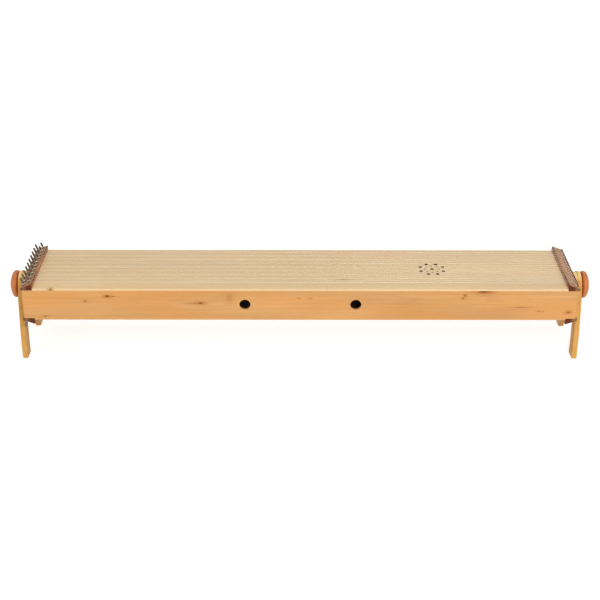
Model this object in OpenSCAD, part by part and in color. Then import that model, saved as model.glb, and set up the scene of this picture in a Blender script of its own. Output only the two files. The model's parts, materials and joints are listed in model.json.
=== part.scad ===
// Double-sided monochord: a long soundbox strung on both faces, hung by two
// round clamping knobs between arched end stands, so that it can be turned over.
//
// Millimetres. X runs along the strings with the tuning pins at -X, +Y points
// away from the player, +Z up. The origin is on the floor under the middle.
//
// Two helper frames keep every piece tied to the same sizes:
// at_corner: x runs inboard from an end face, z away from the seat of a rail
// at_end:    x runs outward from an end face, the turning axis is at z = 0

/* [Soundbox] */
// Length of the soundbox from end face to end face
box_length = 1250; // [900:10:1500]
// Width of the soundbox over its side panels
box_width = 210; // [190:2:230]
// Height of the side panels, between the two soundboards
side_height = 70; // [64:1:84]
// Thickness of a side panel
side_thickness = 6.5; // [5:0.5:9]
// Thickness of a soundboard
board_thickness = 4; // [3:0.5:6]
// Radius of the rounded long edges of a soundboard
board_round = 1; // [0.5:0.25:2]
// Length of an end block along the box
block_length = 42; // [38:1:60]
// Height of a lining strip on its side panel
lining_height = 12; // [8:1:18]
// Width of a lining strip under the soundboard
lining_width = 8; // [6:1:12]
// Height of a cross brace at mid-width
brace_height = 14; // [10:1:18]
// Height of a cross brace at its ends
brace_end_height = 5; // [4:1:8]
// Width of a cross brace along the box
brace_width = 8; // [6:1:12]
// Number of cross braces under each soundboard
brace_count = 5; // [3:1:6]

/* [Sound holes] */
// Diameter of a round hole in a side panel
side_hole_d = 25; // [12:1:36]
// Distance between the two holes of a side panel
side_hole_spacing = 250; // [100:10:500]
// Distance of the rosette's middle from the hitch end of the box
rosette_from_end = 320; // [150:5:400]
// Diameter of the middle hole and of the holes in the outer ring
rosette_hole_d = 9; // [6:0.5:11]
// Diameter of the holes in the inner ring
rosette_small_d = 4.5; // [3:0.5:7]
// Radius of the outer ring of holes
rosette_outer_r = 28; // [25:1:40]
// Radius of the inner ring of holes
rosette_inner_r = 16.5; // [13:0.5:18]
// Number of holes in each ring
rosette_count = 8; // [6:1:9]

/* [Rails] */
// Distance from the end face of the box to the inner face of a rail
rail_inset = 23.5; // [21:0.5:30]
// How far a rail stands out over the end face
rail_overhang = 3; // [0:0.5:4]
// Height of the ridge that carries the strings, above the seat of the rail
ridge_height = 14.5; // [13:0.5:18]
// Fall of the rail from its ridge to its outer edge, in degrees
rail_slope = 20; // [16:1:22]
// Radius of the ridge under the strings
ridge_radius = 1.5; // [1:0.25:2.5]
// Distance of a hitch rail screw from the end face of the box
screw_from_end = 12.5; // [10:0.5:15]
// Diameter of a rail screw's head
screw_head_d = 6; // [4:0.5:7]
// Diameter of a rail screw's shank
screw_shank_d = 3; // [2:0.5:3.5]
// Length of a rail screw
screw_length = 28; // [20:1:32]

/* [Tuning pins] */
// Number of strings on the top
top_count = 20; // [8:1:20]
// Number of strings underneath
bottom_count = 12; // [6:1:12]
// Diameter of a tuning pin
pin_d = 5; // [4:0.5:6]
// Length of an outer tuning pin above the rail
pin_exposed = 19; // [16:1:21]
// Length of an outer tuning pin in the wood
pin_buried = 21; // [16:1:24]
// Width across the flats of a pin's square head
pin_flats = 4; // [3:0.25:4]
// Length of a pin's square head
pin_head = 8; // [5:1:10]
// Diameter of the string hole across a pin
pin_eye_d = 1.2; // [0.8:0.2:1.6]
// Height of that hole above the rail
pin_eye_height = 6; // [4.5:0.5:7]
// Distance of the outer row of pins from the end face of the box
outer_row = 4.8; // [4:0.2:6]
// Distance of the inner row of pins from the end face of the box
inner_row = 14.6; // [13:0.2:16]
// Wood left between the hole of a row's last pin and the side panel
pin_edge_wood = 1; // [0.5:0.25:4]
// Running clearance around a pin in its hole
pin_clearance = 0.05; // [0.03:0.01:0.08]

/* [Strings and hitch pins] */
// Diameter of a string
string_d = 0.5; // [0.3:0.05:0.8]
// Height above the rail at which a string leaves its tuning pin
coil_height = 3; // [2:0.5:4]
// Diameter of a hitch pin
hitch_d = 2.5; // [2:0.25:3]
// Length of a hitch pin above the rail
hitch_exposed = 5; // [4:0.5:7]
// Length of a hitch pin in the wood
hitch_buried = 14; // [10:1:18]
// Distance of the row of hitch pins from the end face of the box
hitch_row = 1.5; // [1:0.25:4]
// Height above the rail at which a string's loop sits on its hitch pin
loop_height = 1.5; // [1:0.25:2.5]

/* [Stands] */
// Free height under the soundbox, down to the floor
floor_gap = 106; // [90:1:120]
// Spread of the feet over their outer edges
foot_spread = 192; // [176:2:220]
// Thickness of a stand
stand_thickness = 12; // [10:0.5:15]
// Width of a leg
leg_width = 32; // [28:1:36]
// Radius of the bowed outer edge of a leg
leg_bow_r = 464; // [380:2:600]
// Radius of the round head of a stand
head_r = 28; // [26:0.5:31]
// Radius of the hollow between head and leg
neck_r = 25; // [12:1:40]
// Radius at the top of the arch between the legs
arch_r = 24; // [16:1:27]
// Lean of a stand, head outward, in degrees
stand_lean = 4.5; // [3:0.5:6]
// Distance from the end face of the box to the stand, on the turning axis
stand_gap = 15; // [14.5:0.5:20]
// Diameter of the collar between a stand and the box
collar_d = 48; // [36:1:52]
// Running gap between a collar and the end face, and at the washer
face_clearance = 0.1; // [0.05:0.05:0.3]

/* [Knobs] */
// Diameter of a knob
knob_d = 64; // [58:1:72]
// Height of a knob from its rim to the top of its dome
knob_height = 22; // [18:1:26]
// Radius of a knob's rounded rim
knob_rim_r = 5; // [3:0.5:6]
// Gap between a knob's rim and the planed head of the stand
knob_gap = 0.5; // [0.3:0.1:2]
// Depth of the hollow in the underside of a knob
knob_hollow = 3; // [2:0.5:4]
// Width of the flat ring at a knob's rim
knob_ring = 3; // [2:0.5:5]
// Diameter of the boss that bears on the washer
boss_d = 22; // [16:1:24]
// Diameter of the threaded stud
stud_d = 8; // [6:1:10]
// Depth of the stud in the end block when the knob is tight
stud_in_block = 17; // [12:1:20]
// Depth of the stud in the knob
stud_in_knob = 10; // [7:1:12]
// Running clearance around the stud in its insert
thread_clearance = 0.05; // [0.03:0.01:0.08]
// Running clearance around the stud in the stand and the washer
stud_clearance = 0.1; // [0.05:0.01:0.1]
// Wall of the threaded insert
insert_wall = 2; // [1.5:0.25:3]
// Length of the threaded insert
insert_length = 22; // [20:1:26]
// Diameter of the insert's flange
insert_flange_d = 18; // [16:1:22]
// Thickness of the insert's flange
insert_flange_t = 1.5; // [1:0.25:2]
// Diameter of a washer
washer_d = 24; // [20:1:26]
// Thickness of a washer
washer_t = 1.6; // [1:0.2:2.4]
// Width of the planed flat that is kept below a washer
seat_clearance = 1; // [0.5:0.25:2]
// Least depth of that flat in the leaning stand
seat_depth = 0.4; // [0.3:0.1:1]

/* [Hidden] */
$fn = 48;

// Both faces of the box are alike, so the turning axis is at mid-height.
box_half = side_height / 2 + board_thickness;
axis_z = floor_gap + box_half;
inner_half_width = box_width / 2 - side_thickness;
clear_length = box_length - 2 * block_length;
rosette_x = box_length / 2 - rosette_from_end;

// Fixed pieces driven into wood have this much room around them.
drive_fit = 0.02;
// Cutting shapes run this far past the surface that they cut.
past = 2;
// Room under the end of a pin or a stud in its blind hole.
blind_room = 0.5;

// Rail section, with the ridge as an arc that meets the slope.
ridge_x = rail_inset - ridge_radius;
ridge_z = ridge_height - ridge_radius;
slope_top_x = ridge_x - ridge_radius * sin(rail_slope);
slope_top_z = ridge_z + ridge_radius * cos(rail_slope);

// Height of the sloping face at a distance from the end face.
function slope_z(x) = slope_top_z - (slope_top_x - x) * tan(rail_slope);

// Pins are spread so that the last holes keep their wood to the side panel.
last_pin_y = inner_half_width - pin_edge_wood - pin_d / 2 - pin_clearance;
function pin_y(i, count) = last_pin_y * (2 * i / (count - 1) - 1);
function string_y(i, count) = pin_y(i, count) + pin_side;
function row_x(i) = i % 2 == 0 ? outer_row : inner_row;

// All pins are equally long and their tops are level, so that the inner row,
// which stands higher up the slope, is driven in deeper.
function pin_above(i) =
    pin_exposed - (slope_z(row_x(i)) - slope_z(outer_row)) / cos(rail_slope);
function pin_below(i) = pin_exposed + pin_buried - pin_above(i);

// A string wraps over the ridge, tangent to it on both sides. This is the angle
// at which it comes up to the ridge from a point [x, z] on a pin.
wrap_r = ridge_radius + string_d / 2;
function climb(p) =
    let (d = [ridge_x, ridge_z] - p)
    atan2(d.y, d.x) + asin(wrap_r / norm(d));

// Each pin stands beside its string, so that the string runs straight in plan.
pin_side = pin_d / 2 + string_d / 2 + pin_clearance;
hitch_side = hitch_d / 2 + string_d / 2 + drive_fit;

// Stand outline around the turning axis: the bowed outer edge of a leg is an
// arc from the foot to the flank of the head.
foot_z = -axis_z;
function arc_centre(p, q, r) =
    let (d = q - p, half = norm(d) / 2)
    (p + q) / 2 + sqrt(r * r - half * half) * [d.y, -d.x] / norm(d);
leg_c = arc_centre([-foot_spread / 2, foot_z], [-head_r, 0], leg_bow_r);
leg_inner_r = leg_bow_r - leg_width;

// The arch between the legs touches the inner edge of each leg.
arch_reach = leg_inner_r - arch_r;
arch_rise = sqrt(arch_reach * arch_reach - leg_c.x * leg_c.x);
arch_z = leg_c.y + arch_rise;
arch_foot_z = arch_z + arch_r * arch_rise / arch_reach;

// First of the two points where two circles meet, left of the line c1 to c2.
function circles_meet(c1, r1, c2, r2) =
    let (d = norm(c2 - c1), e = (c2 - c1) / d)
    let (m = (r1 * r1 - r2 * r2 + d * d) / (2 * d))
    c1 + m * e + sqrt(r1 * r1 - m * m) * [-e.y, e.x];
neck_c = circles_meet(leg_c, leg_bow_r + neck_r, [0, 0], head_r + neck_r);
neck_on_head = neck_c * head_r / (head_r + neck_r);
neck_on_leg = leg_c + (neck_c - leg_c) * leg_bow_r / (leg_bow_r + neck_r);

// Outer face of the leaning stand at a height above the turning axis.
function outer_face_x(z) = stand_gap + stand_thickness / cos(stand_lean) + z * tan(stand_lean);

// The head is planed square to the axis, as low down as the washer reaches.
flat_x = outer_face_x(-washer_d / 2 - seat_clearance) - seat_depth;
washer_x = flat_x + face_clearance;
boss_x = washer_x + washer_t + face_clearance / 2;
rim_x = flat_x + knob_gap;

// Knob dome: an arc over the top that runs into the rounded rim.
rim_c = [knob_d / 2 - knob_rim_r, knob_rim_r];
dome_top = knob_height - knob_rim_r;
dome_z = (dome_top * dome_top - rim_c.x * rim_c.x - rim_c.y * rim_c.y) / (2 * (dome_top - rim_c.y));
dome_r = knob_height - dome_z;
dome_edge = rim_c + knob_rim_r * (rim_c - [0, dome_z]) / (dome_r - knob_rim_r);

function two_digits(n) = str(n < 10 ? "0" : "", n);
function top_pin_name(i) = str("top_pin_", two_digits(i + 1));
function bottom_pin_name(i) = str("bottom_pin_", two_digits(i + 1));

left = -1;
right = 1;
above = 1;
below = -1;

// Frame at the edge of an end face: x inboard, z away from the seat.
module at_corner(end, face) {
    translate([end * box_length / 2, 0, axis_z + face * side_height / 2])
        mirror([end > 0 ? 1 : 0, 0, 0])
            mirror([0, 0, face < 0 ? 1 : 0])
                children();
}

// Frame on the turning axis at an end face: x outward.
module at_end(end) {
    translate([end * box_length / 2, 0, axis_z])
        mirror([end < 0 ? 1 : 0, 0, 0])
            children();
}

// The same with z along the turning axis, for pieces made on a lathe.
module turned(end) {
    at_end(end)
        rotate([0, 90, 0])
            children();
}

// Round bar between two points.
module bar(p, q, d) {
    v = q - p;
    translate(p)
        rotate([0, acos(v.z / norm(v)), atan2(v.y, v.x)])
            cylinder(d = d, h = norm(v));
}

// Box that is centred in x and y and starts at z = 0.
module block(size) {
    translate([-size.x / 2, -size.y / 2, 0])
        cube(size);
}

// Soundboards, with rounded long edges on the outside.
module board_section() {
    inner = box_width / 2 - board_round;
    translate([-inner, 0])
        square([2 * inner, board_thickness]);
    translate([-box_width / 2, 0])
        square([box_width, board_thickness - board_round]);
    for (side = [-1, 1])
        translate([side * inner, board_thickness - board_round])
            circle(board_round);
}

module soundboard(face) {
    length = box_length - 2 * rail_inset;
    translate([0, 0, axis_z])
        mirror([0, 0, face < 0 ? 1 : 0])
            translate([-length / 2, 0, side_height / 2])
                rotate([90, 0, 90])
                    linear_extrude(length)
                        board_section();
}

module rosette_ring(radius, d, first_angle) {
    for (k = [0:rosette_count - 1])
        rotate(first_angle + k * 360 / rosette_count)
            translate([radius, 0, 0])
                cylinder(d = d, h = board_thickness + 2 * past);
}

module top_soundboard() {
    color("#e6c896")
        difference() {
            soundboard(above);
            translate([rosette_x, 0, axis_z + side_height / 2 - past]) {
                cylinder(d = rosette_hole_d, h = board_thickness + 2 * past);
                rosette_ring(rosette_outer_r, rosette_hole_d, 180 / rosette_count);
                rosette_ring(rosette_inner_r, rosette_small_d, 0);
            }
        }
}

module bottom_soundboard() {
    color("#e6c896")
        soundboard(below);
}

// Side panels run the full length and cover the ends of the blocks.
module side_panel(side) {
    color("#d99c60")
        difference() {
            translate([0, side * (box_width - side_thickness) / 2, axis_z - side_height / 2])
                block([box_length, side_thickness, side_height]);
            for (x = [-1, 1] * side_hole_spacing / 2)
                translate([x, side * box_width / 2, axis_z])
                    rotate([90, 0, 0])
                        cylinder(d = side_hole_d, h = 2 * (side_thickness + past), center = true);
        }
}

module front_side() side_panel(-1);
module back_side() side_panel(1);

module end_block(end) {
    color("#c08a52")
        difference() {
            at_end(end)
                translate([-block_length / 2, 0, -side_height / 2])
                    block([block_length, 2 * inner_half_width, side_height]);
            at_end(end)
                insert_hole();
            children();
        }
}

module left_end_block()
    end_block(left) {
        pin_holes(above, top_count);
        pin_holes(below, bottom_count);
    }

module right_end_block()
    end_block(right) {
        hitch_holes(above, top_count);
        hitch_holes(below, bottom_count);
        rail_screw_set(drive_fit);
    }

// Lining strips glue the boards to the sides. Their inner corner is bevelled.
module side_linings() {
    color("#dcc08c")
        for (side = [-1, 1], face = [above, below])
            translate([0, 0, axis_z])
                mirror([0, side > 0 ? 1 : 0, 0])
                    mirror([0, 0, face < 0 ? 1 : 0])
                        translate([-clear_length / 2, -inner_half_width, side_height / 2])
                            rotate([90, 0, 90])
                                linear_extrude(clear_length)
                                    polygon([
                                        [0, 0],
                                        [0, -lining_height],
                                        [lining_width / 3, -lining_height],
                                        [lining_width, -lining_height / 3],
                                        [lining_width, 0]
                                    ]);
}

// Cross braces between the linings, scooped out towards their ends.
module brace_section() {
    half = inner_half_width - lining_width;
    drop = brace_height - brace_end_height;
    scoop_r = (half * half / 9 + drop * drop) / (2 * drop);
    difference() {
        translate([-half, -brace_height])
            square([2 * half, brace_height]);
        for (side = [-1, 1])
            translate([side * half, -brace_end_height - scoop_r])
                circle(scoop_r, $fn = 96);
    }
}

module cross_braces() {
    bay = clear_length / (brace_count + 1);
    color("#e2cfa2")
        for (face = [above, below], k = [1:brace_count])
            translate([k * bay - clear_length / 2 - brace_width / 2, 0, axis_z])
                mirror([0, 0, face < 0 ? 1 : 0])
                    translate([0, 0, side_height / 2])
                        rotate([90, 0, 90])
                            linear_extrude(brace_width)
                                brace_section();
}

// Rails: a wedge that falls from the ridge to its outer edge.
module rail_section() {
    polygon([
        [-rail_overhang, 0],
        [rail_inset, 0],
        [rail_inset, ridge_z],
        [ridge_x, ridge_z],
        [slope_top_x, slope_top_z],
        [-rail_overhang, slope_z(-rail_overhang)]
    ]);
    translate([ridge_x, ridge_z])
        circle(ridge_radius);
}

module rail(end, face) {
    color("#8a4f38")
        difference() {
            at_corner(end, face)
                translate([0, box_width / 2, 0])
                    rotate([90, 0, 0])
                        linear_extrude(box_width)
                            rail_section();
            children();
        }
}

module top_pin_rail() rail(left, above) pin_holes(above, top_count);
module bottom_pin_rail() rail(left, below) pin_holes(below, bottom_count);

module hitch_rail(face, count)
    rail(right, face) {
        hitch_holes(face, count);
        rail_screw_set(drive_fit);
    }

module top_hitch_rail() hitch_rail(above, top_count);
module bottom_hitch_rail() hitch_rail(below, bottom_count);

// Frame square to the sloping face of a rail, z out of the wood.
module on_slope(end, face, x, y) {
    at_corner(end, face)
        translate([x, y, slope_z(x)])
            rotate([0, -rail_slope, 0])
                children();
}

module pin_holes(face, count) {
    for (i = [0:count - 1])
        on_slope(left, face, row_x(i), pin_y(i, count))
            translate([0, 0, -pin_below(i) - blind_room])
                cylinder(d = pin_d + 2 * pin_clearance, h = pin_below(i) + blind_room + past);
}

// Tuning pin: round shank, string hole, square head with a bevelled end.
module tuning_pin(face, i, count) {
    bevel = pin_d / 2 - pin_flats / 2;
    tip = pin_above(i);
    color("#8f8a80")
        on_slope(left, face, row_x(i), pin_y(i, count))
            difference() {
                union() {
                    translate([0, 0, -pin_below(i)])
                        cylinder(d = pin_d, h = pin_below(i) + tip - pin_head);
                    intersection() {
                        block([pin_flats, pin_flats, tip]);
                        union() {
                            cylinder(d = pin_d, h = tip - bevel);
                            translate([0, 0, tip - bevel])
                                cylinder(d1 = pin_d, d2 = pin_d - 2 * bevel, h = bevel);
                        }
                    }
                }
                translate([0, 0, pin_eye_height])
                    rotate([90, 0, 0])
                        cylinder(d = pin_eye_d, h = pin_d + past, center = true);
            }
}

// Hitch pins: one row of headless nails along the outer edge of the rail.
module hitch_row_of(face, count, play, above_wood) {
    for (i = [0:count - 1])
        on_slope(right, face, hitch_row, string_y(i, count) - hitch_side)
            translate([0, 0, -hitch_buried - play])
                cylinder(d = hitch_d + 2 * play, h = hitch_buried + play + above_wood);
}

module hitch_holes(face, count) hitch_row_of(face, count, drive_fit, past);

module hitch_pins(face, count) {
    color("#6f675c")
        hitch_row_of(face, count, 0, hitch_exposed);
}

module top_hitch_pins() hitch_pins(above, top_count);
module bottom_hitch_pins() hitch_pins(below, bottom_count);

// Countersunk screws between the last two strings at each side of a hitch rail.
module rail_screw_set(play) {
    sink = (screw_head_d - screw_shank_d) / 2;
    for (face = [above, below], side = [-1, 1])
        on_slope(right, face, screw_from_end, side * screw_y(face)) {
            translate([0, 0, -screw_length - play])
                cylinder(d = screw_shank_d + 2 * play, h = screw_length);
            translate([0, 0, -sink - play])
                cylinder(d1 = screw_shank_d + 2 * play, d2 = screw_head_d + 2 * play, h = sink);
            if (play > 0)
                translate([0, 0, -play])
                    cylinder(d = screw_head_d + 2 * play, h = past);
        }
}

function screw_y(face) =
    let (count = face > 0 ? top_count : bottom_count)
    last_pin_y * (1 - 1 / (count - 1));

module rail_screws() {
    color("#7d7468")
        rail_screw_set(0);
}

// The end of a string in its corner frame: up from a pin and over the ridge.
module string_end(p, y) {
    angle = climb(p);
    meets = [ridge_x - wrap_r * sin(angle), ridge_z + wrap_r * cos(angle)];
    bar([p.x, y, p.y], [meets.x, y, meets.y], string_d);
    translate([ridge_x, y, ridge_z])
        rotate([90, 0, 0])
            rotate(90)
                rotate_extrude(angle = angle)
                    translate([wrap_r, 0])
                        circle(d = string_d);
}

// A point on the axis of a pin, at a height above the sloping face.
function on_pin(x, height) = [x, slope_z(x)] + height * [-sin(rail_slope), cos(rail_slope)];

module one_string(face, i, count) {
    y = string_y(i, count);
    top = ridge_height + string_d / 2;
    at_corner(left, face) {
        string_end(on_pin(row_x(i), coil_height), y);
        bar([ridge_x, y, top], [box_length - ridge_x, y, top], string_d);
    }
    at_corner(right, face)
        string_end(on_pin(hitch_row, loop_height), y);
}

module strings(face, count) {
    color("#b8b4aa")
        for (i = [0:count - 1])
            one_string(face, i, count, $fn = 20);
}

module top_strings() strings(above, top_count);
module bottom_strings() strings(below, bottom_count);

// Threaded insert: a flanged sleeve let into the end block.
module insert_hole() {
    rotate([0, -90, 0]) {
        cylinder(d = insert_flange_d + 2 * drive_fit, h = insert_flange_t);
        translate([0, 0, -past])
            cylinder(d = insert_flange_d + 2 * drive_fit, h = past);
        cylinder(d = stud_d + 2 * insert_wall + 2 * drive_fit, h = insert_length + past);
    }
}

module threaded_inserts() {
    color("#c8a24a")
        for (end = [left, right])
            turned(end)
                difference() {
                    union() {
                        translate([0, 0, -insert_length])
                            cylinder(d = stud_d + 2 * insert_wall, h = insert_length);
                        translate([0, 0, -insert_flange_t])
                            cylinder(d = insert_flange_d, h = insert_flange_t);
                    }
                    translate([0, 0, -insert_length - past])
                        cylinder(d = stud_d + 2 * thread_clearance, h = insert_length + 2 * past);
                }
}

// Stand outline: between the bowed outer edges, under the round head, with
// the hollow necks filled in and the arch cut out.
module stand_outline() {
    difference() {
        union() {
            intersection() {
                for_both_legs() circle(leg_bow_r, $fn = 360);
                translate([-foot_spread, foot_z - past * 2])
                    square([2 * foot_spread, -foot_z + past * 2]);
            }
            circle(head_r);
            for (side = [0, 1])
                mirror([side, 0])
                    difference() {
                        polygon([neck_on_head, neck_c, neck_on_leg, [-head_r, 0]]);
                        translate(neck_c)
                            circle(neck_r);
                    }
        }
        intersection() {
            for_both_legs() circle(leg_inner_r, $fn = 360);
            translate([-foot_spread, foot_z - foot_spread])
                square([2 * foot_spread, arch_foot_z - foot_z + foot_spread]);
        }
        translate([0, arch_z])
            circle(arch_r);
    }
}

// What lies within the arcs of both legs.
module for_both_legs() {
    intersection() {
        translate(leg_c)
            children();
        translate([-leg_c.x, leg_c.y])
            children();
    }
}

// The leaning plate, as a layer between two distances from the stand's face.
module leaning(from, to) {
    translate([stand_gap, 0, 0])
        rotate([0, stand_lean, 0])
            translate([from, 0, 0])
                rotate([90, 0, 90])
                    linear_extrude(to - from)
                        children();
}

module stand(end) {
    color("#d7a050")
        at_end(end)
            difference() {
                intersection() {
                    leaning(0, stand_thickness)
                        stand_outline();
                    translate([outer_face_x(0), 0, foot_z])
                        block([foot_spread, 2 * foot_spread, axis_z + 2 * head_r]);
                }
                rotate([0, 90, 0])
                    cylinder(d = stud_d + 2 * stud_clearance, h = rim_x + past);
                translate([flat_x + stand_thickness / 2, 0, -2 * head_r])
                    block([stand_thickness, foot_spread, 4 * head_r]);
            }
}

module left_stand() stand(left);
module right_stand() stand(right);

// Collar: turned disc whose outer face is cut to the lean of the stand.
module collar(end) {
    color("#cf9446")
        at_end(end)
            difference() {
                translate([face_clearance, 0, 0])
                    rotate([0, 90, 0])
                        cylinder(d = collar_d, h = outer_face_x(0));
                rotate([0, 90, 0])
                    cylinder(d = stud_d + 2 * stud_clearance, h = 2 * rim_x, center = true);
                leaning(0, 2 * stand_thickness)
                    square(2 * collar_d, center = true);
            }
}

module left_collar() collar(left);
module right_collar() collar(right);

// Half profile of the knob, with its axis along y. The boss stands in the
// hollow and bears on the washer.
module knob_profile() {
    intersection() {
        translate([0, dome_z])
            circle(dome_r, $fn = 128);
        translate([0, dome_edge.y])
            square([dome_edge.x, knob_height]);
    }
    difference() {
        union() {
            polygon([[0, 0], [rim_c.x, 0], rim_c, dome_edge, [0, dome_edge.y]]);
            translate(rim_c)
                circle(knob_rim_r);
        }
        translate([0, -past])
            square([knob_d / 2 - knob_rim_r - knob_ring, knob_hollow + past]);
    }
    translate([0, boss_x - rim_x])
        square([boss_d / 2, knob_hollow + rim_x - boss_x]);
}

module knob(end) {
    color("#c4703f")
        at_end(end)
            translate([rim_x, 0, 0])
                rotate([0, 90, 0])
                    difference() {
                        rotate_extrude($fn = 96)
                            knob_profile();
                        translate([0, 0, boss_x - rim_x - past])
                            cylinder(d = stud_d + 2 * drive_fit, h = rim_x - boss_x + past + stud_in_knob);
                    }
}

module left_knob() knob(left);
module right_knob() knob(right);

// Threaded stud, fixed in the knob, with a bevelled tip.
module stud(end) {
    bevel = stud_d / 10;
    color("#b9b6ae")
        turned(end) {
            translate([0, 0, bevel - stud_in_block])
                cylinder(d = stud_d, h = stud_in_block - bevel + rim_x + stud_in_knob);
            translate([0, 0, -stud_in_block])
                cylinder(d1 = stud_d - 2 * bevel, d2 = stud_d, h = bevel);
        }
}

module left_stud() stud(left);
module right_stud() stud(right);

module washer(end) {
    color("#c9c7c0")
        turned(end)
            translate([0, 0, washer_x])
                difference() {
                    cylinder(d = washer_d, h = washer_t);
                    translate([0, 0, -past])
                        cylinder(d = stud_d + 2 * stud_clearance, h = washer_t + 2 * past);
                }
}

module left_washer() washer(left);
module right_washer() washer(right);

top_soundboard();
bottom_soundboard();
front_side();
back_side();
left_end_block();
right_end_block();
side_linings();
cross_braces();
top_pin_rail();
bottom_pin_rail();
top_hitch_rail();
bottom_hitch_rail();
top_hitch_pins();
bottom_hitch_pins();
rail_screws();
top_strings();
bottom_strings();
threaded_inserts();
left_stand();
right_stand();
left_collar();
right_collar();
left_knob();
right_knob();
left_stud();
right_stud();
left_washer();
right_washer();
for (i = [0:top_count - 1])
    tuning_pin(above, i, top_count);
for (i = [0:bottom_count - 1])
    tuning_pin(below, i, bottom_count);
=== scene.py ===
# Dresses the double-sided monochord: eased wood, wound strings, steel pins and studio.
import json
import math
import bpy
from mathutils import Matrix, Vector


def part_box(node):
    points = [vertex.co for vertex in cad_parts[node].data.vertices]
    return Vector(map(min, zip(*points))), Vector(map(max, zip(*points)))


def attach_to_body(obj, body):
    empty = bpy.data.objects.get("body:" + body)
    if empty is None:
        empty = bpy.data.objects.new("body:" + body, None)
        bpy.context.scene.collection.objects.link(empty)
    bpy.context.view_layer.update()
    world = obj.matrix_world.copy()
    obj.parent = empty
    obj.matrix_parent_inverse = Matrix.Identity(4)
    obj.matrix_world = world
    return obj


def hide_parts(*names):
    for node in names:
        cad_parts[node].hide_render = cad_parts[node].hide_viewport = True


bl_info = {
    "name": "Double-sided monochord",
    "version": (1, 0, 0),
    "blender": (4, 5, 0),
    "location": "View3D > Sidebar > Monochord",
    "description": "Woods, strings, tuning pins, turning stands and studio of the monochord",
    "category": "Object",
}

import bmesh
import bpy
from bpy.props import (
    FloatProperty,
    FloatVectorProperty,
    IntProperty,
    PointerProperty,
)
from mathutils import Euler, Matrix, Vector

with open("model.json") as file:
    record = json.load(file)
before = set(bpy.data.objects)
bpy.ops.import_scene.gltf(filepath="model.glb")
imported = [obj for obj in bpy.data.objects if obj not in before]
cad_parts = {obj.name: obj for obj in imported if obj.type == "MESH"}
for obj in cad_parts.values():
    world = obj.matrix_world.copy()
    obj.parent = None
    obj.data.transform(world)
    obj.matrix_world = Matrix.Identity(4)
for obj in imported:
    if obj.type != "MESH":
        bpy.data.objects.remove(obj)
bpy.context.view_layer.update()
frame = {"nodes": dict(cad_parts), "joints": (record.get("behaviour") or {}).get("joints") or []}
NODES = frame["nodes"]
JOINTS = {joint["name"]: joint for joint in frame["joints"]}

MM = 0.001
LEFT, RIGHT = -1, 1
ABOVE, BELOW = 1, -1

# The rails lie on the box between these heights, and end with its side panels.
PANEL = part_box("front_side")
HALF_LENGTH = PANEL[1].x
SEAT = {ABOVE: PANEL[1].z, BELOW: PANEL[0].z}
AXIS_Z = (PANEL[0].z + PANEL[1].z) / 2
FRONT_Y = PANEL[0].y


def paint(red, green, blue):
    """Linear colour of a display colour that is given from 0 to 255."""

    def linear(value):
        value /= 255
        return value / 12.92 if value <= 0.04045 else ((value + 0.055) / 1.055) ** 2.4

    return linear(red), linear(green), linear(blue)


def colour(name, description, default):
    return FloatVectorProperty(
        name=name, description=description, subtype="COLOR", size=3, min=0, max=1, default=default
    )


def length(name, description, default, low=0.0, high=1.0):
    return FloatProperty(
        name=name,
        description=description,
        default=default,
        min=low,
        max=high,
        subtype="DISTANCE",
        unit="LENGTH",
        precision=5,
    )


class MonochordWoods(bpy.types.PropertyGroup):
    """Colours of the oiled woods, and how far their edges are eased."""

    spruce: colour("Soundboard", "Spruce of both soundboards", paint(230, 201, 156))
    # Partly the sawn edge's own paler tone, partly a painted highlight.
    spruce_edge_highlight: colour("Board edge", "Sawn edge of the soundboards, with a painted highlight", paint(246, 210, 160))
    side: colour("Side", "Wood of the two side panels", paint(226, 170, 108))
    side_dark: colour("Side rings", "Darker rings and streaks of the side panels", paint(200, 138, 80))
    side_stain: colour("Side patches", "Deeper patches of the side panels", paint(228, 160, 88))
    knot: colour("Knots", "Small knots in the side panels", paint(86, 36, 4))
    knot_halo: colour("Round knots", "Stained wood round the knots", paint(198, 118, 48))
    block: colour("End blocks", "Wood of the end faces", paint(214, 158, 98))
    lining: colour("Linings", "Strips and braces inside the box", paint(120, 96, 66))
    # Painted shade: the wood that faces the inside of the box gets a dark colour.
    hollow: colour("Hollow", "Painted shade on the wood that faces the inside of the box", paint(66, 48, 32))
    rail: colour("Rails", "Dark wedge rails under the strings", paint(186, 132, 82))
    rail_dark: colour("Rail rings", "Darker figure and end grain of the rails", paint(112, 54, 32))
    rail_end: colour("Rail ends", "Dark end grain of the rails", paint(94, 34, 14))
    stand: colour("Stands", "Arched stands and their collars", paint(226, 172, 92))
    stand_dark: colour("Stand rings", "Darker rings of the stands", paint(196, 132, 56))
    # Painted highlight: the pale end-grain tops of the stands and collars.
    stand_top_highlight: colour("Stand tops", "Painted highlight on the end grain of stands and collars", paint(240, 214, 150))
    knob: colour("Knobs", "Turned clamping knobs", paint(222, 138, 80))
    knob_dark: colour("Knob rings", "Darker rings of the knobs", paint(160, 74, 32))
    # Painted shade: the inner rim of a knob, towards the stand.
    knob_rim: colour("Knob rims", "Painted shade on the inner rim of a knob", paint(138, 58, 22))
    # Painted shade: the dark walls of the rosette's holes.
    hole_wall_shade: colour("Drilled walls", "Painted shade on the walls of the rosette's holes", paint(44, 24, 12))
    rosette: length("Rosette", "Distance of the rosette's middle from the hitch end", 320 * MM)
    rosette_reach: length("Rosette reach", "Radius round all holes of the rosette", 33 * MM)
    board_easing: length("Board easing", "Width of the eased edges of the box", 0.4 * MM, 0, 2 * MM)
    rail_easing: length("Rail easing", "Width of the eased edges of the rails", 0.5 * MM, 0, 2 * MM)
    stand_easing: length("Stand easing", "Width of the rounded edges of the stands", 1.2 * MM, 0, 3 * MM)


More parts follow.
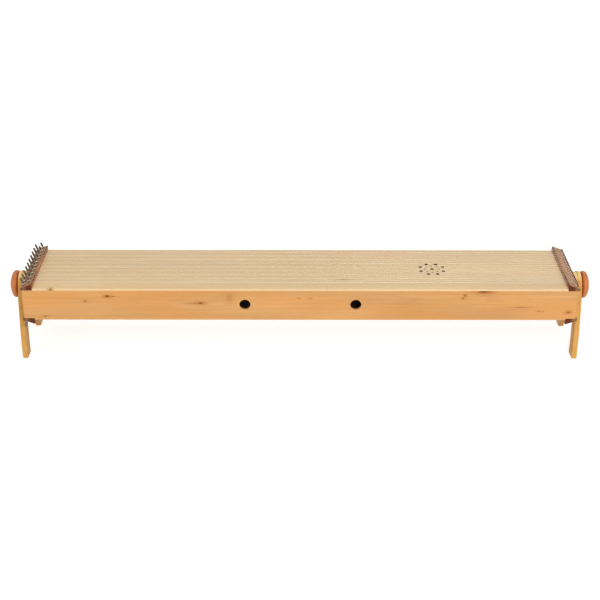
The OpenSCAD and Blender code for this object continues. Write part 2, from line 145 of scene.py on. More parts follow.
class MonochordWire(bpy.types.PropertyGroup):
    """Sizes of the strings, their windings and the pins that hold them."""

    wire: length("Wire", "Thickness of a string", 0.42 * MM, 0.2 * MM, 1.5 * MM)
    pin: length("Tuning pin", "Thickness of a tuning pin", 5 * MM, 3 * MM, 8 * MM)
    fit: length("Pin gap", "Gap between a string and the pin beside it", 0.05 * MM, 0, MM)
    coil_start: length("Coil start", "Height of a winding's first turn over the rail", 3 * MM)
    eye: length("Eye", "Height of a tuning pin's string hole over the rail", 6 * MM)
    turns: FloatProperty(
        name="Turns", description="Turns of a string round its tuning pin", default=4.5, min=1, max=8
    )
    tail: length("Tail", "Length of the string's end past the eye", 1.6 * MM, 0, 5 * MM)
    hitch_pin: length("Hitch pin", "Thickness of a hitch pin", 2.5 * MM, MM, 5 * MM)
    hitch_row: length("Hitch row", "Distance of the hitch pins from the end of the box", 1.5 * MM)
    hitch_above: length("Hitch height", "Height of the hitch pins over the rail", 5 * MM)
    hitch_below: length("Hitch depth", "Depth of the hitch pins in the wood", 14 * MM)
    hitch_play: length("Hitch gap", "Gap between a loop and its hitch pin", 0.02 * MM)
    loop_height: length("Loop height", "Height of a string's loop over the rail", 1.5 * MM)
    twist_pitch: length("Twist pitch", "Length of one turn of a loop's twisted neck", 1.6 * MM, MM)
    twist_length: length("Twist length", "Length of a loop's twisted neck", 8 * MM)
    thread_pitch: length("Thread pitch", "Pitch of the clamping studs", 1.25 * MM, 0.5 * MM)
    steel: colour("Tuning pins", "Greyed steel of the tuning pins", paint(126, 110, 88))
    string: colour("Strings", "Plain steel wire", paint(122, 112, 96))
    dark_steel: colour("Hitch pins", "Darker steel of hitch pins and screws", paint(78, 62, 44))
    zinc: colour("Studs", "Zinc plate of studs and washers", paint(196, 198, 196))
    brass: colour("Inserts", "Brass of the threaded inserts", paint(206, 172, 96))


class MonochordRails(bpy.types.PropertyGroup):
    """The section of the rails, which the strings follow."""

    inset: length("Inset", "Distance of the ridge's inner face from the end of the box", 23.5 * MM)
    ridge: length("Ridge", "Height of the ridge over the rail's seat", 14.5 * MM)
    ridge_radius: length("Ridge radius", "Radius that the strings bend over", 1.5 * MM)
    slope: FloatProperty(
        name="Slope",
        description="Fall of the rail from its ridge to its outer edge",
        default=math.radians(20),
        min=0,
        max=math.radians(45),
        subtype="ANGLE",
        unit="ROTATION",
    )
    screw_row: length("Screw row", "Distance of the rail screws from the end of the box", 12.5 * MM)
    screw_head: length("Screw head", "Width of a rail screw's head", 6 * MM)
    screw_shank: length("Screw shank", "Thickness of a rail screw", 3 * MM)
    screw_length: length("Screw length", "Length of a rail screw", 28 * MM)


class MonochordClamps(bpy.types.PropertyGroup):
    """The turned knobs, and the round heads and collars that they press on."""

    knob_height: length("Knob height", "From the rim at the stand to the top of the dome", 22 * MM)
    knob_rim: length("Knob rim", "Radius of the rounded rim", 8 * MM, MM)
    knob_hollow: length("Knob hollow", "Depth of the hollow inside the rim", 3 * MM)
    knob_ring: length("Knob ring", "Width of the flat ring round the hollow", 3 * MM)
    knob_boss: length("Knob boss", "Width of the boss round the stud", 22 * MM)
    knob_bore: length("Knob bore", "Width of the bore that holds the stud", 8.1 * MM)
    knob_socket: length("Knob socket", "Depth of that bore", 12 * MM)
    head_growth: length("Head growth", "Wood added round the head of a stand", 4 * MM)
    collar_growth: length("Collar growth", "Wood added round a collar", 6 * MM)
    lean: FloatProperty(
        name="Lean",
        description="Angle at which the stands lean outwards",
        default=math.radians(4.5),
        min=0,
        max=math.radians(10),
        subtype="ANGLE",
        unit="ROTATION",
    )


class MonochordStudio(bpy.types.PropertyGroup):
    """The camera, the pale floor and the soft lights."""

    focal: FloatProperty(
        name="Focal length", description="In millimetres on a 36 mm film", default=73.8, min=20, max=300
    )
    distance: length("Distance", "From the camera to the middle of the box", 2.8858, 0.5, 10)
    elevation: FloatProperty(
        name="Elevation",
        description="Angle of the view above the horizon",
        default=math.radians(27.27),
        subtype="ANGLE",
        unit="ROTATION",
    )
    azimuth: FloatProperty(
        name="Azimuth",
        description="Turn of the view to the right of straight ahead",
        default=math.radians(-0.32),
        subtype="ANGLE",
        unit="ROTATION",
    )
    roll: FloatProperty(
        name="Roll",
        description="Turn of the camera about its line of sight, right side up",
        default=math.radians(0.22),
        subtype="ANGLE",
        unit="ROTATION",
    )
    target: FloatVectorProperty(
        name="Target",
        description="Point in the middle of the picture",
        default=(-0.0003, 0.0, 0.103),
        subtype="XYZ",
        unit="LENGTH",
    )
    floor: colour("Floor", "Colour of the floor", (0.82, 0.82, 0.82))
    floor_glow: FloatProperty(
        name="Floor glow", description="White that the camera alone sees on the floor", default=0.62, min=0
    )
    ambient: FloatProperty(
        name="Surroundings", description="Strength of the light from all round", default=0.4, min=0
    )
    key: FloatProperty(
        name="Key light", description="Power of the large front light", default=56, min=0, unit="POWER"
    )
    fill: FloatProperty(
        name="Fill light", description="Power of the light from the left", default=10, min=0, unit="POWER"
    )
    top: FloatProperty(
        name="Top light", description="Power of the overhead light", default=33, min=0, unit="POWER"
    )


# Node trees.


class Wiring:
    """Adds and links nodes in one tree."""

    def __init__(self, tree):
        self.tree = tree

    def add(self, kind, inputs=None, **settings):
        node = self.tree.nodes.new(kind)
        for name, value in settings.items():
            setattr(node, name, value)
        for key, value in (inputs or {}).items():
            for item in value if isinstance(value, list) else [value]:
                if isinstance(item, bpy.types.NodeSocket):
                    self.tree.links.new(item, node.inputs[key])
                else:
                    node.inputs[key].default_value = item
        return node

    def maths(self, operation, *values):
        inputs = dict(enumerate(values))
        return self.add("ShaderNodeMath", inputs, operation=operation).outputs[0]

    def vector(self, operation, *values):
        node = self.add("ShaderNodeVectorMath", dict(enumerate(values)), operation=operation)
        return node.outputs[1 if operation in ("LENGTH", "DOT_PRODUCT") else 0]

    def ramp(self, value, low, high, start=0.0, end=1.0):
        """Runs smoothly from start to end while value runs from low to high."""
        inputs = {0: value, 1: low, 2: high, 3: start, 4: end}
        return self.add("ShaderNodeMapRange", inputs, interpolation_type="SMOOTHSTEP").outputs[0]

    def mix(self, factor, first, second, blend="MIX"):
        inputs = {0: factor, 6: first, 7: second}
        node = self.add("ShaderNodeMix", inputs, data_type="RGBA", blend_type=blend)
        return node.outputs[2]

    def noise(self, vector, scale, detail=2.0, roughness=0.5):
        """Noise whose grains have a size of their own along each axis."""
        stretched = self.vector("MULTIPLY", vector, scale)
        inputs = {"Vector": stretched, "Scale": 1.0, "Detail": detail, "Roughness": roughness}
        return self.add("ShaderNodeTexNoise", inputs).outputs["Fac"]


def new_group(name, inputs, outputs, kind="ShaderNodeTree"):
    """A node group with named inputs, given as (name, type, default), and outputs."""
    tree = bpy.data.node_groups.new(name, kind)
    for label, socket_type, default in inputs:
        socket = tree.interface.new_socket(
            label, in_out="INPUT", socket_type="NodeSocket" + socket_type
        )
        if default is not None:
            socket.default_value = default
    for label, socket_type in outputs:
        tree.interface.new_socket(label, in_out="OUTPUT", socket_type="NodeSocket" + socket_type)
    wiring = Wiring(tree)
    return wiring, wiring.add("NodeGroupInput").outputs


def finish_group(wiring, results):
    wiring.add("NodeGroupOutput", results)
    return wiring.tree


def timber_group():
    """Year rings round a pith line along X, with fibres, streaks and blotches."""
    wiring, given = new_group(
        "Timber",
        [
            ("Vector", "Vector", None),
            ("Pith", "Vector", (0.0, -0.3, 0.0)),
            ("Ring Width", "Float", 0.002),
            ("Wobble", "Float", 0.003),
            ("Swell", "Float", 0.0),
            ("Seed", "Float", 0.0),
        ],
        [
            ("Rings", "Float"),
            ("Fibre", "Float"),
            ("Streak", "Float"),
            ("Blotch", "Float"),
            ("Patch", "Float"),
        ],
    )
    across = wiring.vector("MULTIPLY", given["Vector"], (0.0, 1.0, 1.0))
    from_pith = wiring.vector("LENGTH", wiring.vector("SUBTRACT", across, given["Pith"]))
    moved = wiring.vector("ADD", given["Vector"], wiring.add(
        "ShaderNodeCombineXYZ", {0: given["Seed"], 1: given["Seed"], 2: given["Seed"]}
    ).outputs[0])

    def swing(scale, share):
        centred = wiring.maths("SUBTRACT", wiring.noise(moved, scale, 1.0), 0.5)
        return wiring.maths("MULTIPLY", centred, wiring.maths("MULTIPLY", given["Wobble"], share))

    bent = wiring.maths("ADD", from_pith, swing((1.6, 8.0, 8.0), 2.0))
    bent = wiring.maths("ADD", bent, swing((7.0, 45.0, 45.0), 0.5))
    bent = wiring.maths("ADD", bent, given["Swell"])
    years = wiring.maths("DIVIDE", bent, given["Ring Width"])
    within = wiring.maths("FRACT", years)
    late = wiring.ramp(within, 0.25, 0.9)
    late = wiring.maths("MULTIPLY", late, wiring.ramp(within, 0.92, 1.0, 1.0, 0.0))
    strength = wiring.add(
        "ShaderNodeTexWhiteNoise", {"W": wiring.maths("FLOOR", years)}, noise_dimensions="1D"
    ).outputs["Value"]
    rings = wiring.maths("MULTIPLY", late, wiring.ramp(strength, 0.0, 1.0, 0.45, 1.0))
    return finish_group(
        wiring,
        {
            "Rings": rings,
            "Fibre": wiring.noise(moved, (22.0, 1300.0, 1300.0), 2.0, 0.6),
            "Streak": wiring.noise(moved, (1.4, 150.0, 150.0), 3.0, 0.6),
            "Blotch": wiring.noise(moved, (3.0, 14.0, 14.0), 2.0),
            "Patch": wiring.noise(moved, (4.5, 21.0, 21.0), 3.0, 0.55),
        },
    )


def knot_group():
    """One knot: a dark core, a stained halo, and a swell that the rings bend round."""
    wiring, given = new_group(
        "Knot",
        [
            ("Vector", "Vector", None),
            ("Place", "Vector", (0.0, 0.0, 0.0)),
            ("Spread", "Vector", (0.004, 1.0, 0.002)),
            ("Rise", "Float", 0.003),
            ("Darkness", "Float", 0.8),
            ("Core", "Float", 0.0),
            ("Halo", "Float", 0.0),
            ("Swell", "Float", 0.0),
        ],
        [("Core", "Float"), ("Halo", "Float"), ("Swell", "Float")],
    )
    offset = wiring.vector("SUBTRACT", given["Vector"], given["Place"])
    away = wiring.vector("LENGTH", wiring.vector("DIVIDE", offset, given["Spread"]))
    ragged = wiring.maths("SUBTRACT", wiring.noise(given["Vector"], (220.0, 20.0, 520.0)), 0.5)
    edge = wiring.maths("ADD", away, wiring.maths("MULTIPLY", ragged, 1.1))
    core = wiring.maths("MULTIPLY", wiring.ramp(edge, 0.3, 1.3, 1.0, 0.0), given["Darkness"])
    halo = wiring.maths("MULTIPLY", wiring.ramp(edge, 0.9, 3.4, 0.8, 0.0), given["Darkness"])
    fall = wiring.maths("POWER", 0.72, wiring.maths("MULTIPLY", away, away))
    swell = wiring.maths("MULTIPLY", fall, given["Rise"])
    return finish_group(
        wiring,
        {
            "Core": wiring.maths("MAXIMUM", given["Core"], core),
            "Halo": wiring.maths("MAXIMUM", given["Halo"], halo),
            "Swell": wiring.maths("ADD", given["Swell"], swell),
        },
    )


def edge_wear_group():
    """Wear on the eased edges, broken up by noise."""
    wiring, given = new_group(
        "Edge wear", [("Vector", "Vector", None), ("Amount", "Float", 0.5)], [("Wear", "Float")]
    )
    eased = wiring.add(
        "ShaderNodeAttribute", attribute_name="eased_edge", attribute_type="GEOMETRY"
    ).outputs["Fac"]
    broken = wiring.ramp(wiring.noise(given["Vector"], (70.0, 70.0, 70.0), 3.0), 0.3, 0.65)
    worn = wiring.maths("MULTIPLY", wiring.maths("MULTIPLY", eased, broken), given["Amount"])
    return finish_group(wiring, {"Wear": worn})


def handled_metal_group():
    """Fine scratches and dull patches of steel that is often touched."""
    wiring, given = new_group(
        "Handled metal",
        [("Vector", "Vector", None), ("Roughness", "Float", 0.3), ("Dullness", "Float", 0.2)],
        [("Roughness", "Float"), ("Tarnish", "Float"), ("Height", "Float")],
    )
    patches = wiring.ramp(wiring.noise(given["Vector"], (260.0, 260.0, 260.0), 3.0), 0.35, 0.75)
    scratches = wiring.noise(given["Vector"], (900.0, 5200.0, 900.0), 2.0, 0.7)
    rough = wiring.maths("MULTIPLY_ADD", patches, given["Dullness"], given["Roughness"])
    rough = wiring.maths("MULTIPLY_ADD", scratches, 0.12, rough)
    return finish_group(wiring, {"Roughness": rough, "Tarnish": patches, "Height": scratches})


GROUP_MAKERS = {
    "Timber": timber_group,
    "Knot": knot_group,
    "Edge wear": edge_wear_group,
    "Handled metal": handled_metal_group,
}


def group(wiring, name, inputs):
    """Places a shader group, which is built the first time that it is asked for."""
    tree = bpy.data.node_groups.get(name) or GROUP_MAKERS[name]()
    node = wiring.add("ShaderNodeGroup", node_tree=tree)
    for key, value in inputs.items():
        if isinstance(value, bpy.types.NodeSocket):
            wiring.tree.links.new(value, node.inputs[key])
        else:
            node.inputs[key].default_value = value
    return node.outputs


def new_material(name):
    material = bpy.data.materials.new(name)
    material.use_nodes = True
    material.node_tree.nodes.clear()
    return material, Wiring(material.node_tree)


def surface(wiring, inputs):
    shader = wiring.add("ShaderNodeBsdfPrincipled", inputs)
    wiring.add("ShaderNodeOutputMaterial", {"Surface": shader.outputs[0]})


GRAIN_TURNS = {
    "X": (0.0, 0.0, 0.0),
    "Y": (0.0, 0.0, -math.pi / 2),
    "Z": (0.0, math.pi / 2, 0.0),
}
GRAIN_AXES = {"X": (1.0, 0.0, 0.0), "Y": (0.0, 1.0, 0.0), "Z": (0.0, 0.0, 1.0)}


def wood(
    name,
    early,
    late,
    grain="X",
    pith=(0.0, -0.3, 0.0),
    ring_width=0.002,
    wobble=0.003,
    ring_contrast=0.5,
    streaks=0.3,
    blotches=0.2,
    seed=0.0,
    patch_colour=None,
    patches=0.0,
    knots=(),
    knot_colour=(0.05, 0.02, 0.01),
    halo_colour=(0.4, 0.2, 0.08),
    end_grain=0.35,
    end_colour=None,
    edge_tone_and_painted_light=None,
    edge_axis=1,
    edge_from=None,
    drilled=None,
    inside=None,
    turned=False,
    roughness=0.42,
    coat=0.03,
    relief=0.5,
    wear=0.5,
):
    """An oiled wood whose rings are solid, so that they meet at every edge."""
    material, wiring = new_material(name)
    coordinates = wiring.add("ShaderNodeTexCoord").outputs
    place = coordinates["Object"]
    along = wiring.add("ShaderNodeMapping", {0: place, 2: GRAIN_TURNS[grain]}).outputs[0]
    core, halo, swell = 0.0, 0.0, 0.0
    for spot, spread, rise, darkness in knots:
        knot = group(
            wiring,
            "Knot",
            {
                "Vector": along,
                "Place": (spot[0], spot[1], AXIS_Z + spot[2]),
                "Spread": spread,
                "Rise": rise,
                "Darkness": darkness,
                "Core": core,
                "Halo": halo,
                "Swell": swell,
            },
        )
        core, halo, swell = knot["Core"], knot["Halo"], knot["Swell"]
    timber = group(
        wiring,
        "Timber",
        {
            "Vector": along,
            "Pith": pith,
            "Ring Width": ring_width,
            "Wobble": wobble,
            "Swell": swell,
            "Seed": seed,
        },
    )
    rings = wiring.maths("MULTIPLY", timber["Rings"], ring_contrast)
    tint = wiring.mix(rings, (*early, 1), (*late, 1))
    streak = wiring.maths("MULTIPLY", wiring.ramp(timber["Streak"], 0.35, 0.75), streaks)
    tint = wiring.mix(streak, tint, (*late, 1))
    if patches:
        stained = wiring.maths("MULTIPLY", wiring.ramp(timber["Patch"], 0.42, 0.66), patches)
        tint = wiring.mix(stained, tint, (*patch_colour, 1))
    shade = wiring.ramp(timber["Blotch"], 0.25, 0.75, 1.0 - blotches / 2, 1.0 + blotches / 2)
    fibre = wiring.ramp(timber["Fibre"], 0.25, 0.8, 0.95, 1.04)
    shade = wiring.maths("MULTIPLY", shade, fibre)
    facing = wiring.vector("DOT_PRODUCT", coordinates["Normal"], GRAIN_AXES[grain])
    cut_end = wiring.ramp(wiring.maths("ABSOLUTE", facing), 0.55, 0.9, 0.0, end_grain)
    end_colour = end_colour or [c * 0.72 for c in late]
    tint = wiring.mix(cut_end, tint, (*end_colour, 1))
    # Painted light in a band along one axis: a highlight on the soundboards' sawn edges, which are partly
    # their own paler tone, and shade on the knobs' inner rims.
    if edge_tone_and_painted_light:
        outward = wiring.maths("ABSOLUTE", wiring.add("ShaderNodeSeparateXYZ", {0: place}).outputs[edge_axis])
        tint = wiring.mix(wiring.ramp(outward, *edge_from), tint, (*edge_tone_and_painted_light, 1))
    tint = wiring.mix(1.0, tint, shade, "MULTIPLY")
    if knots:
        tint = wiring.mix(halo, tint, (*halo_colour, 1))
        tint = wiring.mix(core, tint, (*knot_colour, 1))
    if drilled:
        # Painted shade: the walls of the drilled holes round one point get a dark colour, in place of the
        # shade inside the holes.
        centre, reach, hole_wall_shade = drilled
        flat = wiring.vector("MULTIPLY", place, (1.0, 1.0, 0.0))
        near = wiring.vector("LENGTH", wiring.vector("SUBTRACT", flat, centre))
        near = wiring.ramp(near, reach, reach + 3 * MM, 0.9, 0.0)
        upward = wiring.vector("DOT_PRODUCT", coordinates["Normal"], (0.0, 0.0, 1.0))
        wall = wiring.ramp(wiring.maths("ABSOLUTE", upward), 0.15, 0.6, 1.0, 0.0)
        tint = wiring.mix(wiring.maths("MULTIPLY", near, wall), tint, (*hole_wall_shade, 1))
    if inside:
        # Painted shade: the bare wood that faces the hollow of the box gets a dark colour, in place of the
        # shade inside the box.
        half_width, half_height, painted_hollow_shade = inside
        parts = wiring.add("ShaderNodeSeparateXYZ", {0: place}).outputs
        aside = wiring.maths("ABSOLUTE", parts[1])
        aloft = wiring.maths("ABSOLUTE", wiring.maths("SUBTRACT", parts[2], AXIS_Z))
        hollow = wiring.maths(
            "MULTIPLY",
            wiring.ramp(aside, half_width, half_width + 0.4 * MM, 0.95, 0.0),
            wiring.ramp(aloft, half_height, half_height + 0.4 * MM, 1.0, 0.0),
        )
        tint = wiring.mix(hollow, tint, (*painted_hollow_shade, 1))
    worn = group(wiring, "Edge wear", {"Vector": place, "Amount": wear})["Wear"]
    tint = wiring.mix(worn, tint, (*(min(1.0, c * 1.25 + 0.02) for c in early), 1))
    grain_height = wiring.maths("MULTIPLY_ADD", timber["Fibre"], 0.6, rings)
    if turned:
        # Fine circles that the lathe leaves round the turning axis.
        off_axis = wiring.vector("SUBTRACT", place, (0.0, 0.0, AXIS_Z))
        off_axis = wiring.vector("MULTIPLY", off_axis, (0.0, 1.0, 1.0))
        ring = wiring.add("ShaderNodeCombineXYZ", {0: wiring.vector("LENGTH", off_axis)}).outputs[0]
        marks = wiring.noise(ring, (1500.0, 1.0, 1.0), 3.0, 0.7)
        grain_height = wiring.maths("MULTIPLY_ADD", marks, 0.9, grain_height)
    bump = wiring.add(
        "ShaderNodeBump", {"Strength": relief, "Distance": 0.15 * MM, "Height": grain_height}
    )
    sheen = wiring.maths("MULTIPLY_ADD", timber["Fibre"], 0.16, roughness - 0.08)
    sheen = wiring.maths("MULTIPLY_ADD", worn, 0.15, sheen)
    surface(
        wiring,
        {
            "Base Color": tint,
            "Roughness": sheen,
            "Specular IOR Level": 0.2,
            "Coat Weight": coat,
            "Coat Roughness": 0.25,
            "Normal": bump.outputs[0],
        },
    )
    return material


def metal(name, tint, tarnished, roughness=0.3, dullness=0.2, relief=0.2, wear=0.3):
    """A plated or drawn metal with scratches, dull patches and bright edges."""
    material, wiring = new_material(name)
    place = wiring.add("ShaderNodeTexCoord").outputs["Object"]
    handled = group(
        wiring, "Handled metal", {"Vector": place, "Roughness": roughness, "Dullness": dullness}
    )
    worn = group(wiring, "Edge wear", {"Vector": place, "Amount": wear})["Wear"]
    blend = wiring.mix(handled["Tarnish"], (*tint, 1), (*tarnished, 1))
    blend = wiring.mix(worn, blend, (*(min(1.0, c * 1.3) for c in tint), 1))
    bump = wiring.add(
        "ShaderNodeBump", {"Strength": relief, "Distance": 0.05 * MM, "Height": handled["Height"]}
    )
    surface(
        wiring,
        {
            "Base Color": blend,
            "Metallic": 1.0,
            "Roughness": handled["Roughness"],
            "Normal": bump.outputs[0],
        },
    )
    return material


# Shaping.


def link(mesh, name):
    piece = bpy.data.objects.new(name, mesh)
    bpy.context.scene.collection.objects.link(piece)
    return piece


def settled(piece):
    """Applies all modifiers of a piece and leaves it a plain mesh."""
    ready = piece.evaluated_get(bpy.context.evaluated_depsgraph_get())
    plain = bpy.data.meshes.new_from_object(ready)
    piece.modifiers.clear()
    old, piece.data = piece.data, plain
    plain.name = piece.name
    if old.users == 0:
        bpy.data.meshes.remove(old)
    return piece


def attach(piece, body, slot, *nodes):
    """Lets a finished piece move with its body and stand for its nodes."""
    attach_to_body(piece, body)
    if nodes:
        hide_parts(*nodes)
    return piece


def widened(end, growth, lean, upright, fade_depth=0.0):
    """Moves an outline round the turning axis outwards, along the faces it bounds.

    The face at the upright distance from the end of the box stands upright and
    the others lean. With a fade depth, the move below the axis reaches only the
    outer edges of the legs and fades out, so that the feet stay in place.
    """
    bore, leg_inside = 20 * MM, 27.5 * MM

    def reshape(work):
        for vertex in work.verts:
            y, z = vertex.co.y, vertex.co.z - AXIS_Z
            radius = math.hypot(y, z)
            if radius < bore:
                continue
            if z >= 0 or not fade_depth:
                step = Vector((y, z)) * (growth / radius)
            elif abs(y) > leg_inside and z > -fade_depth:
                share = 1 + z / fade_depth
                step = Vector((math.copysign(growth, y) * share * share * (3 - 2 * share), 0))
            else:
                continue
            vertex.co.y += step.x
            vertex.co.z += step.y
            if abs(end * vertex.co.x - HALF_LENGTH - upright) > 0.1 * MM:
                vertex.co.x += end * step.y * math.tan(lean)

    return reshape


def eased_copy(
    node,
    name,
    material,
    width,
    shortest=0.0,
    segments=2,
    corner=30.0,
    merge=0.001 * MM,
    reshape=None,
):
    """A copy of a node with clean faces and small rounded edges.

    Only corners sharper than the angle are eased, and only edges longer than
    the shortest, which spares the rims of small bores.
    """
    work = bmesh.new()
    work.from_mesh(NODES[node].data)
    bmesh.ops.remove_doubles(work, verts=work.verts, dist=merge)
    bmesh.ops.dissolve_limit(
        work, angle_limit=math.radians(0.2), verts=work.verts, edges=work.edges
    )
    if reshape:
        reshape(work)
    weight = work.edges.layers.float.new("bevel_weight_edge")
    for edge in work.edges:
        turn = edge.calc_face_angle(0.0)
        if turn > math.radians(corner) and edge.calc_length() >= shortest:
            edge[weight] = 1.0
    for face in work.faces:
        face.smooth = True
    mesh = bpy.data.meshes.new(name)
    work.to_mesh(mesh)
    work.free()
    mesh.materials.clear()
    mesh.materials.append(material)
    mesh.materials.append(material)
    piece = link(mesh, name)
    if width > 0:
        easing = piece.modifiers.new("Easing", "BEVEL")
        easing.width = width
        easing.segments = segments
        easing.limit_method = "WEIGHT"
        easing.miter_outer = "MITER_ARC"
        easing.use_clamp_overlap = True
        easing.material = 1
    shading = piece.modifiers.new("Flat faces", "WEIGHTED_NORMAL")
    shading.keep_sharp = True
    shading.weight = 90
    settled(piece)
    eased = piece.data.attributes.new("eased_edge", "FLOAT", "FACE")
    eased.data.foreach_set("value", [float(face.material_index) for face in piece.data.polygons])
    piece.data.polygons.foreach_set("material_index", [0] * len(piece.data.polygons))
    piece.data.materials.pop(index=1)
    return piece


def outboard(end, node):
    """Distances from the end of the box between which a node lies."""
    low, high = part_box(node)
    near, far = sorted((end * low.x, end * high.x))
    return near - HALF_LENGTH, far - HALF_LENGTH


def turned_piece(name, profile, end, material, steps=96):
    """A closed piece turned on the axis, from points (distance outboard, radius)."""
    work = bmesh.new()
    verts = [
        work.verts.new((end * (HALF_LENGTH + out), 0, AXIS_Z + radius)) for out, radius in profile
    ]
    edges = [work.edges.new(pair) for pair in zip(verts, verts[1:])]
    bmesh.ops.spin(
        work,
        geom=verts + edges,
        cent=(0, 0, AXIS_Z),
        axis=(1, 0, 0),
        angle=2 * math.pi,
        steps=steps,
        use_merge=True,
    )
    bmesh.ops.remove_doubles(work, verts=work.verts, dist=1e-6)
    bmesh.ops.recalc_face_normals(work, faces=work.faces)
    for face in work.faces:
        face.smooth = True
    mesh = bpy.data.meshes.new(name)
    work.to_mesh(mesh)
    work.free()
    mesh.set_sharp_from_angle(angle=math.radians(35))
    mesh.materials.append(material)
    return link(mesh, name)


def knob_profile(clamps, low, high, half_width):
    """Points (distance outboard, radius) of a knob, from its bore to its dome."""
    rim, top = clamps.knob_rim, clamps.knob_height
    rise, across = top - rim, half_width - rim
    rim_x = high - top
    # The dome touches the rim from inside, with its centre on the axis.
    centre = (rise * rise - across * across - rim * rim) / (2 * (rise - rim))
    dome = top - centre
    meets = math.atan2(across, rim - centre)
    bore, boss = clamps.knob_bore / 2, clamps.knob_boss / 2
    inside = across - clamps.knob_ring
    ease = 0.4 * MM
    points = [
        (rim_x + clamps.knob_socket, 0),
        (rim_x + clamps.knob_socket, bore),
        (low, bore),
        (low, boss - ease),
        (low + ease, boss),
        (rim_x + clamps.knob_hollow, boss),
        (rim_x + clamps.knob_hollow, inside),
        (rim_x + ease, inside),
        (rim_x, inside + ease),
    ]
    for step in range(19):
        turn = math.pi - (math.pi - meets) * step / 18
        points.append((rim_x + rim + rim * math.cos(turn), across + rim * math.sin(turn)))
    for step in range(1, 25):
        turn = meets * (1 - step / 24)
        points.append((rim_x + centre + dome * math.cos(turn), dome * math.sin(turn)))
    return points


def corner_frame(end, face):
    """Frame at the edge of an end face: x inboard, z away from the rail's seat."""
    place = Matrix.Translation((end * HALF_LENGTH, 0, SEAT[face]))
    return place @ Matrix.Diagonal((-end, 1, face, 1))


class RailSection:
    """Points of a rail's section, in its corner frame, in metres."""

    def __init__(self, rails, wire):
        self.fall = rails.slope
        self.radius = rails.ridge_radius
        self.centre = Vector((rails.inset - rails.ridge_radius, rails.ridge - rails.ridge_radius))
        self.wrap = rails.ridge_radius + wire.wire / 2
        self.out = Vector((-math.sin(self.fall), math.cos(self.fall)))
        self.crown = self.centre + self.radius * self.out

    def slope_height(self, x):
        return self.crown.y - (self.crown.x - x) * math.tan(self.fall)

    def over(self, x, height):
        """A point on the axis of a pin, at a height over the slope."""
        return Vector((x, self.slope_height(x))) + height * self.out

    def climb(self, point):
        """Angle at which a string comes up from a point and touches the ridge."""
        way = self.centre - point
        return math.atan2(way.y, way.x) + math.asin(self.wrap / way.length)

    def on_ridge(self, angle):
        return self.centre + self.wrap * Vector((-math.sin(angle), math.cos(angle)))

    def slope_frame(self, end, face, x):
        """Frame square to the slope, z out of the wood."""
        local = Matrix.Translation((x, 0, self.slope_height(x)))
        return corner_frame(end, face) @ local @ Matrix.Rotation(-self.fall, 4, "Y")


def shaping_tree(name, inputs):
    return new_group(
        name,
        [("Geometry", "Geometry", None), *inputs, ("Material", "Material", None)],
        [("Geometry", "Geometry")],
        "GeometryNodeTree",
    )


def finish_shape(wiring, given, shape):
    """Ends a tree with real geometry in one material."""
    real = wiring.add("GeometryNodeRealizeInstances", {0: shape}).outputs[0]
    smooth = wiring.add("GeometryNodeSetShadeSmooth", {"Geometry": real}).outputs[0]
    painted = wiring.add(
        "GeometryNodeSetMaterial", {"Geometry": smooth, "Material": given["Material"]}
    ).outputs[0]
    return finish_group(wiring, {"Geometry": painted})


def as_wire(wiring, curve, diameter, sides):
    radius = wiring.maths("DIVIDE", diameter, 2.0)
    rim = wiring.add(
        "GeometryNodeCurvePrimitiveCircle", {"Resolution": sides, "Radius": radius}, mode="RADIUS"
    ).outputs[0]
    return wiring.add(
        "GeometryNodeCurveToMesh", {"Curve": curve, "Profile Curve": rim, "Fill Caps": True}
    ).outputs[0]


def wire_tree():
    """Wire that follows the edges of the piece's own mesh."""
    wiring, given = shaping_tree(
        "Wire along a path", [("Thickness", "Float", 0.0005), ("Sides", "Int", 8)]
    )
    path = wiring.add("GeometryNodeMeshToCurve", {"Mesh": given["Geometry"]}).outputs[0]
    return finish_shape(wiring, given, as_wire(wiring, path, given["Thickness"], given["Sides"]))


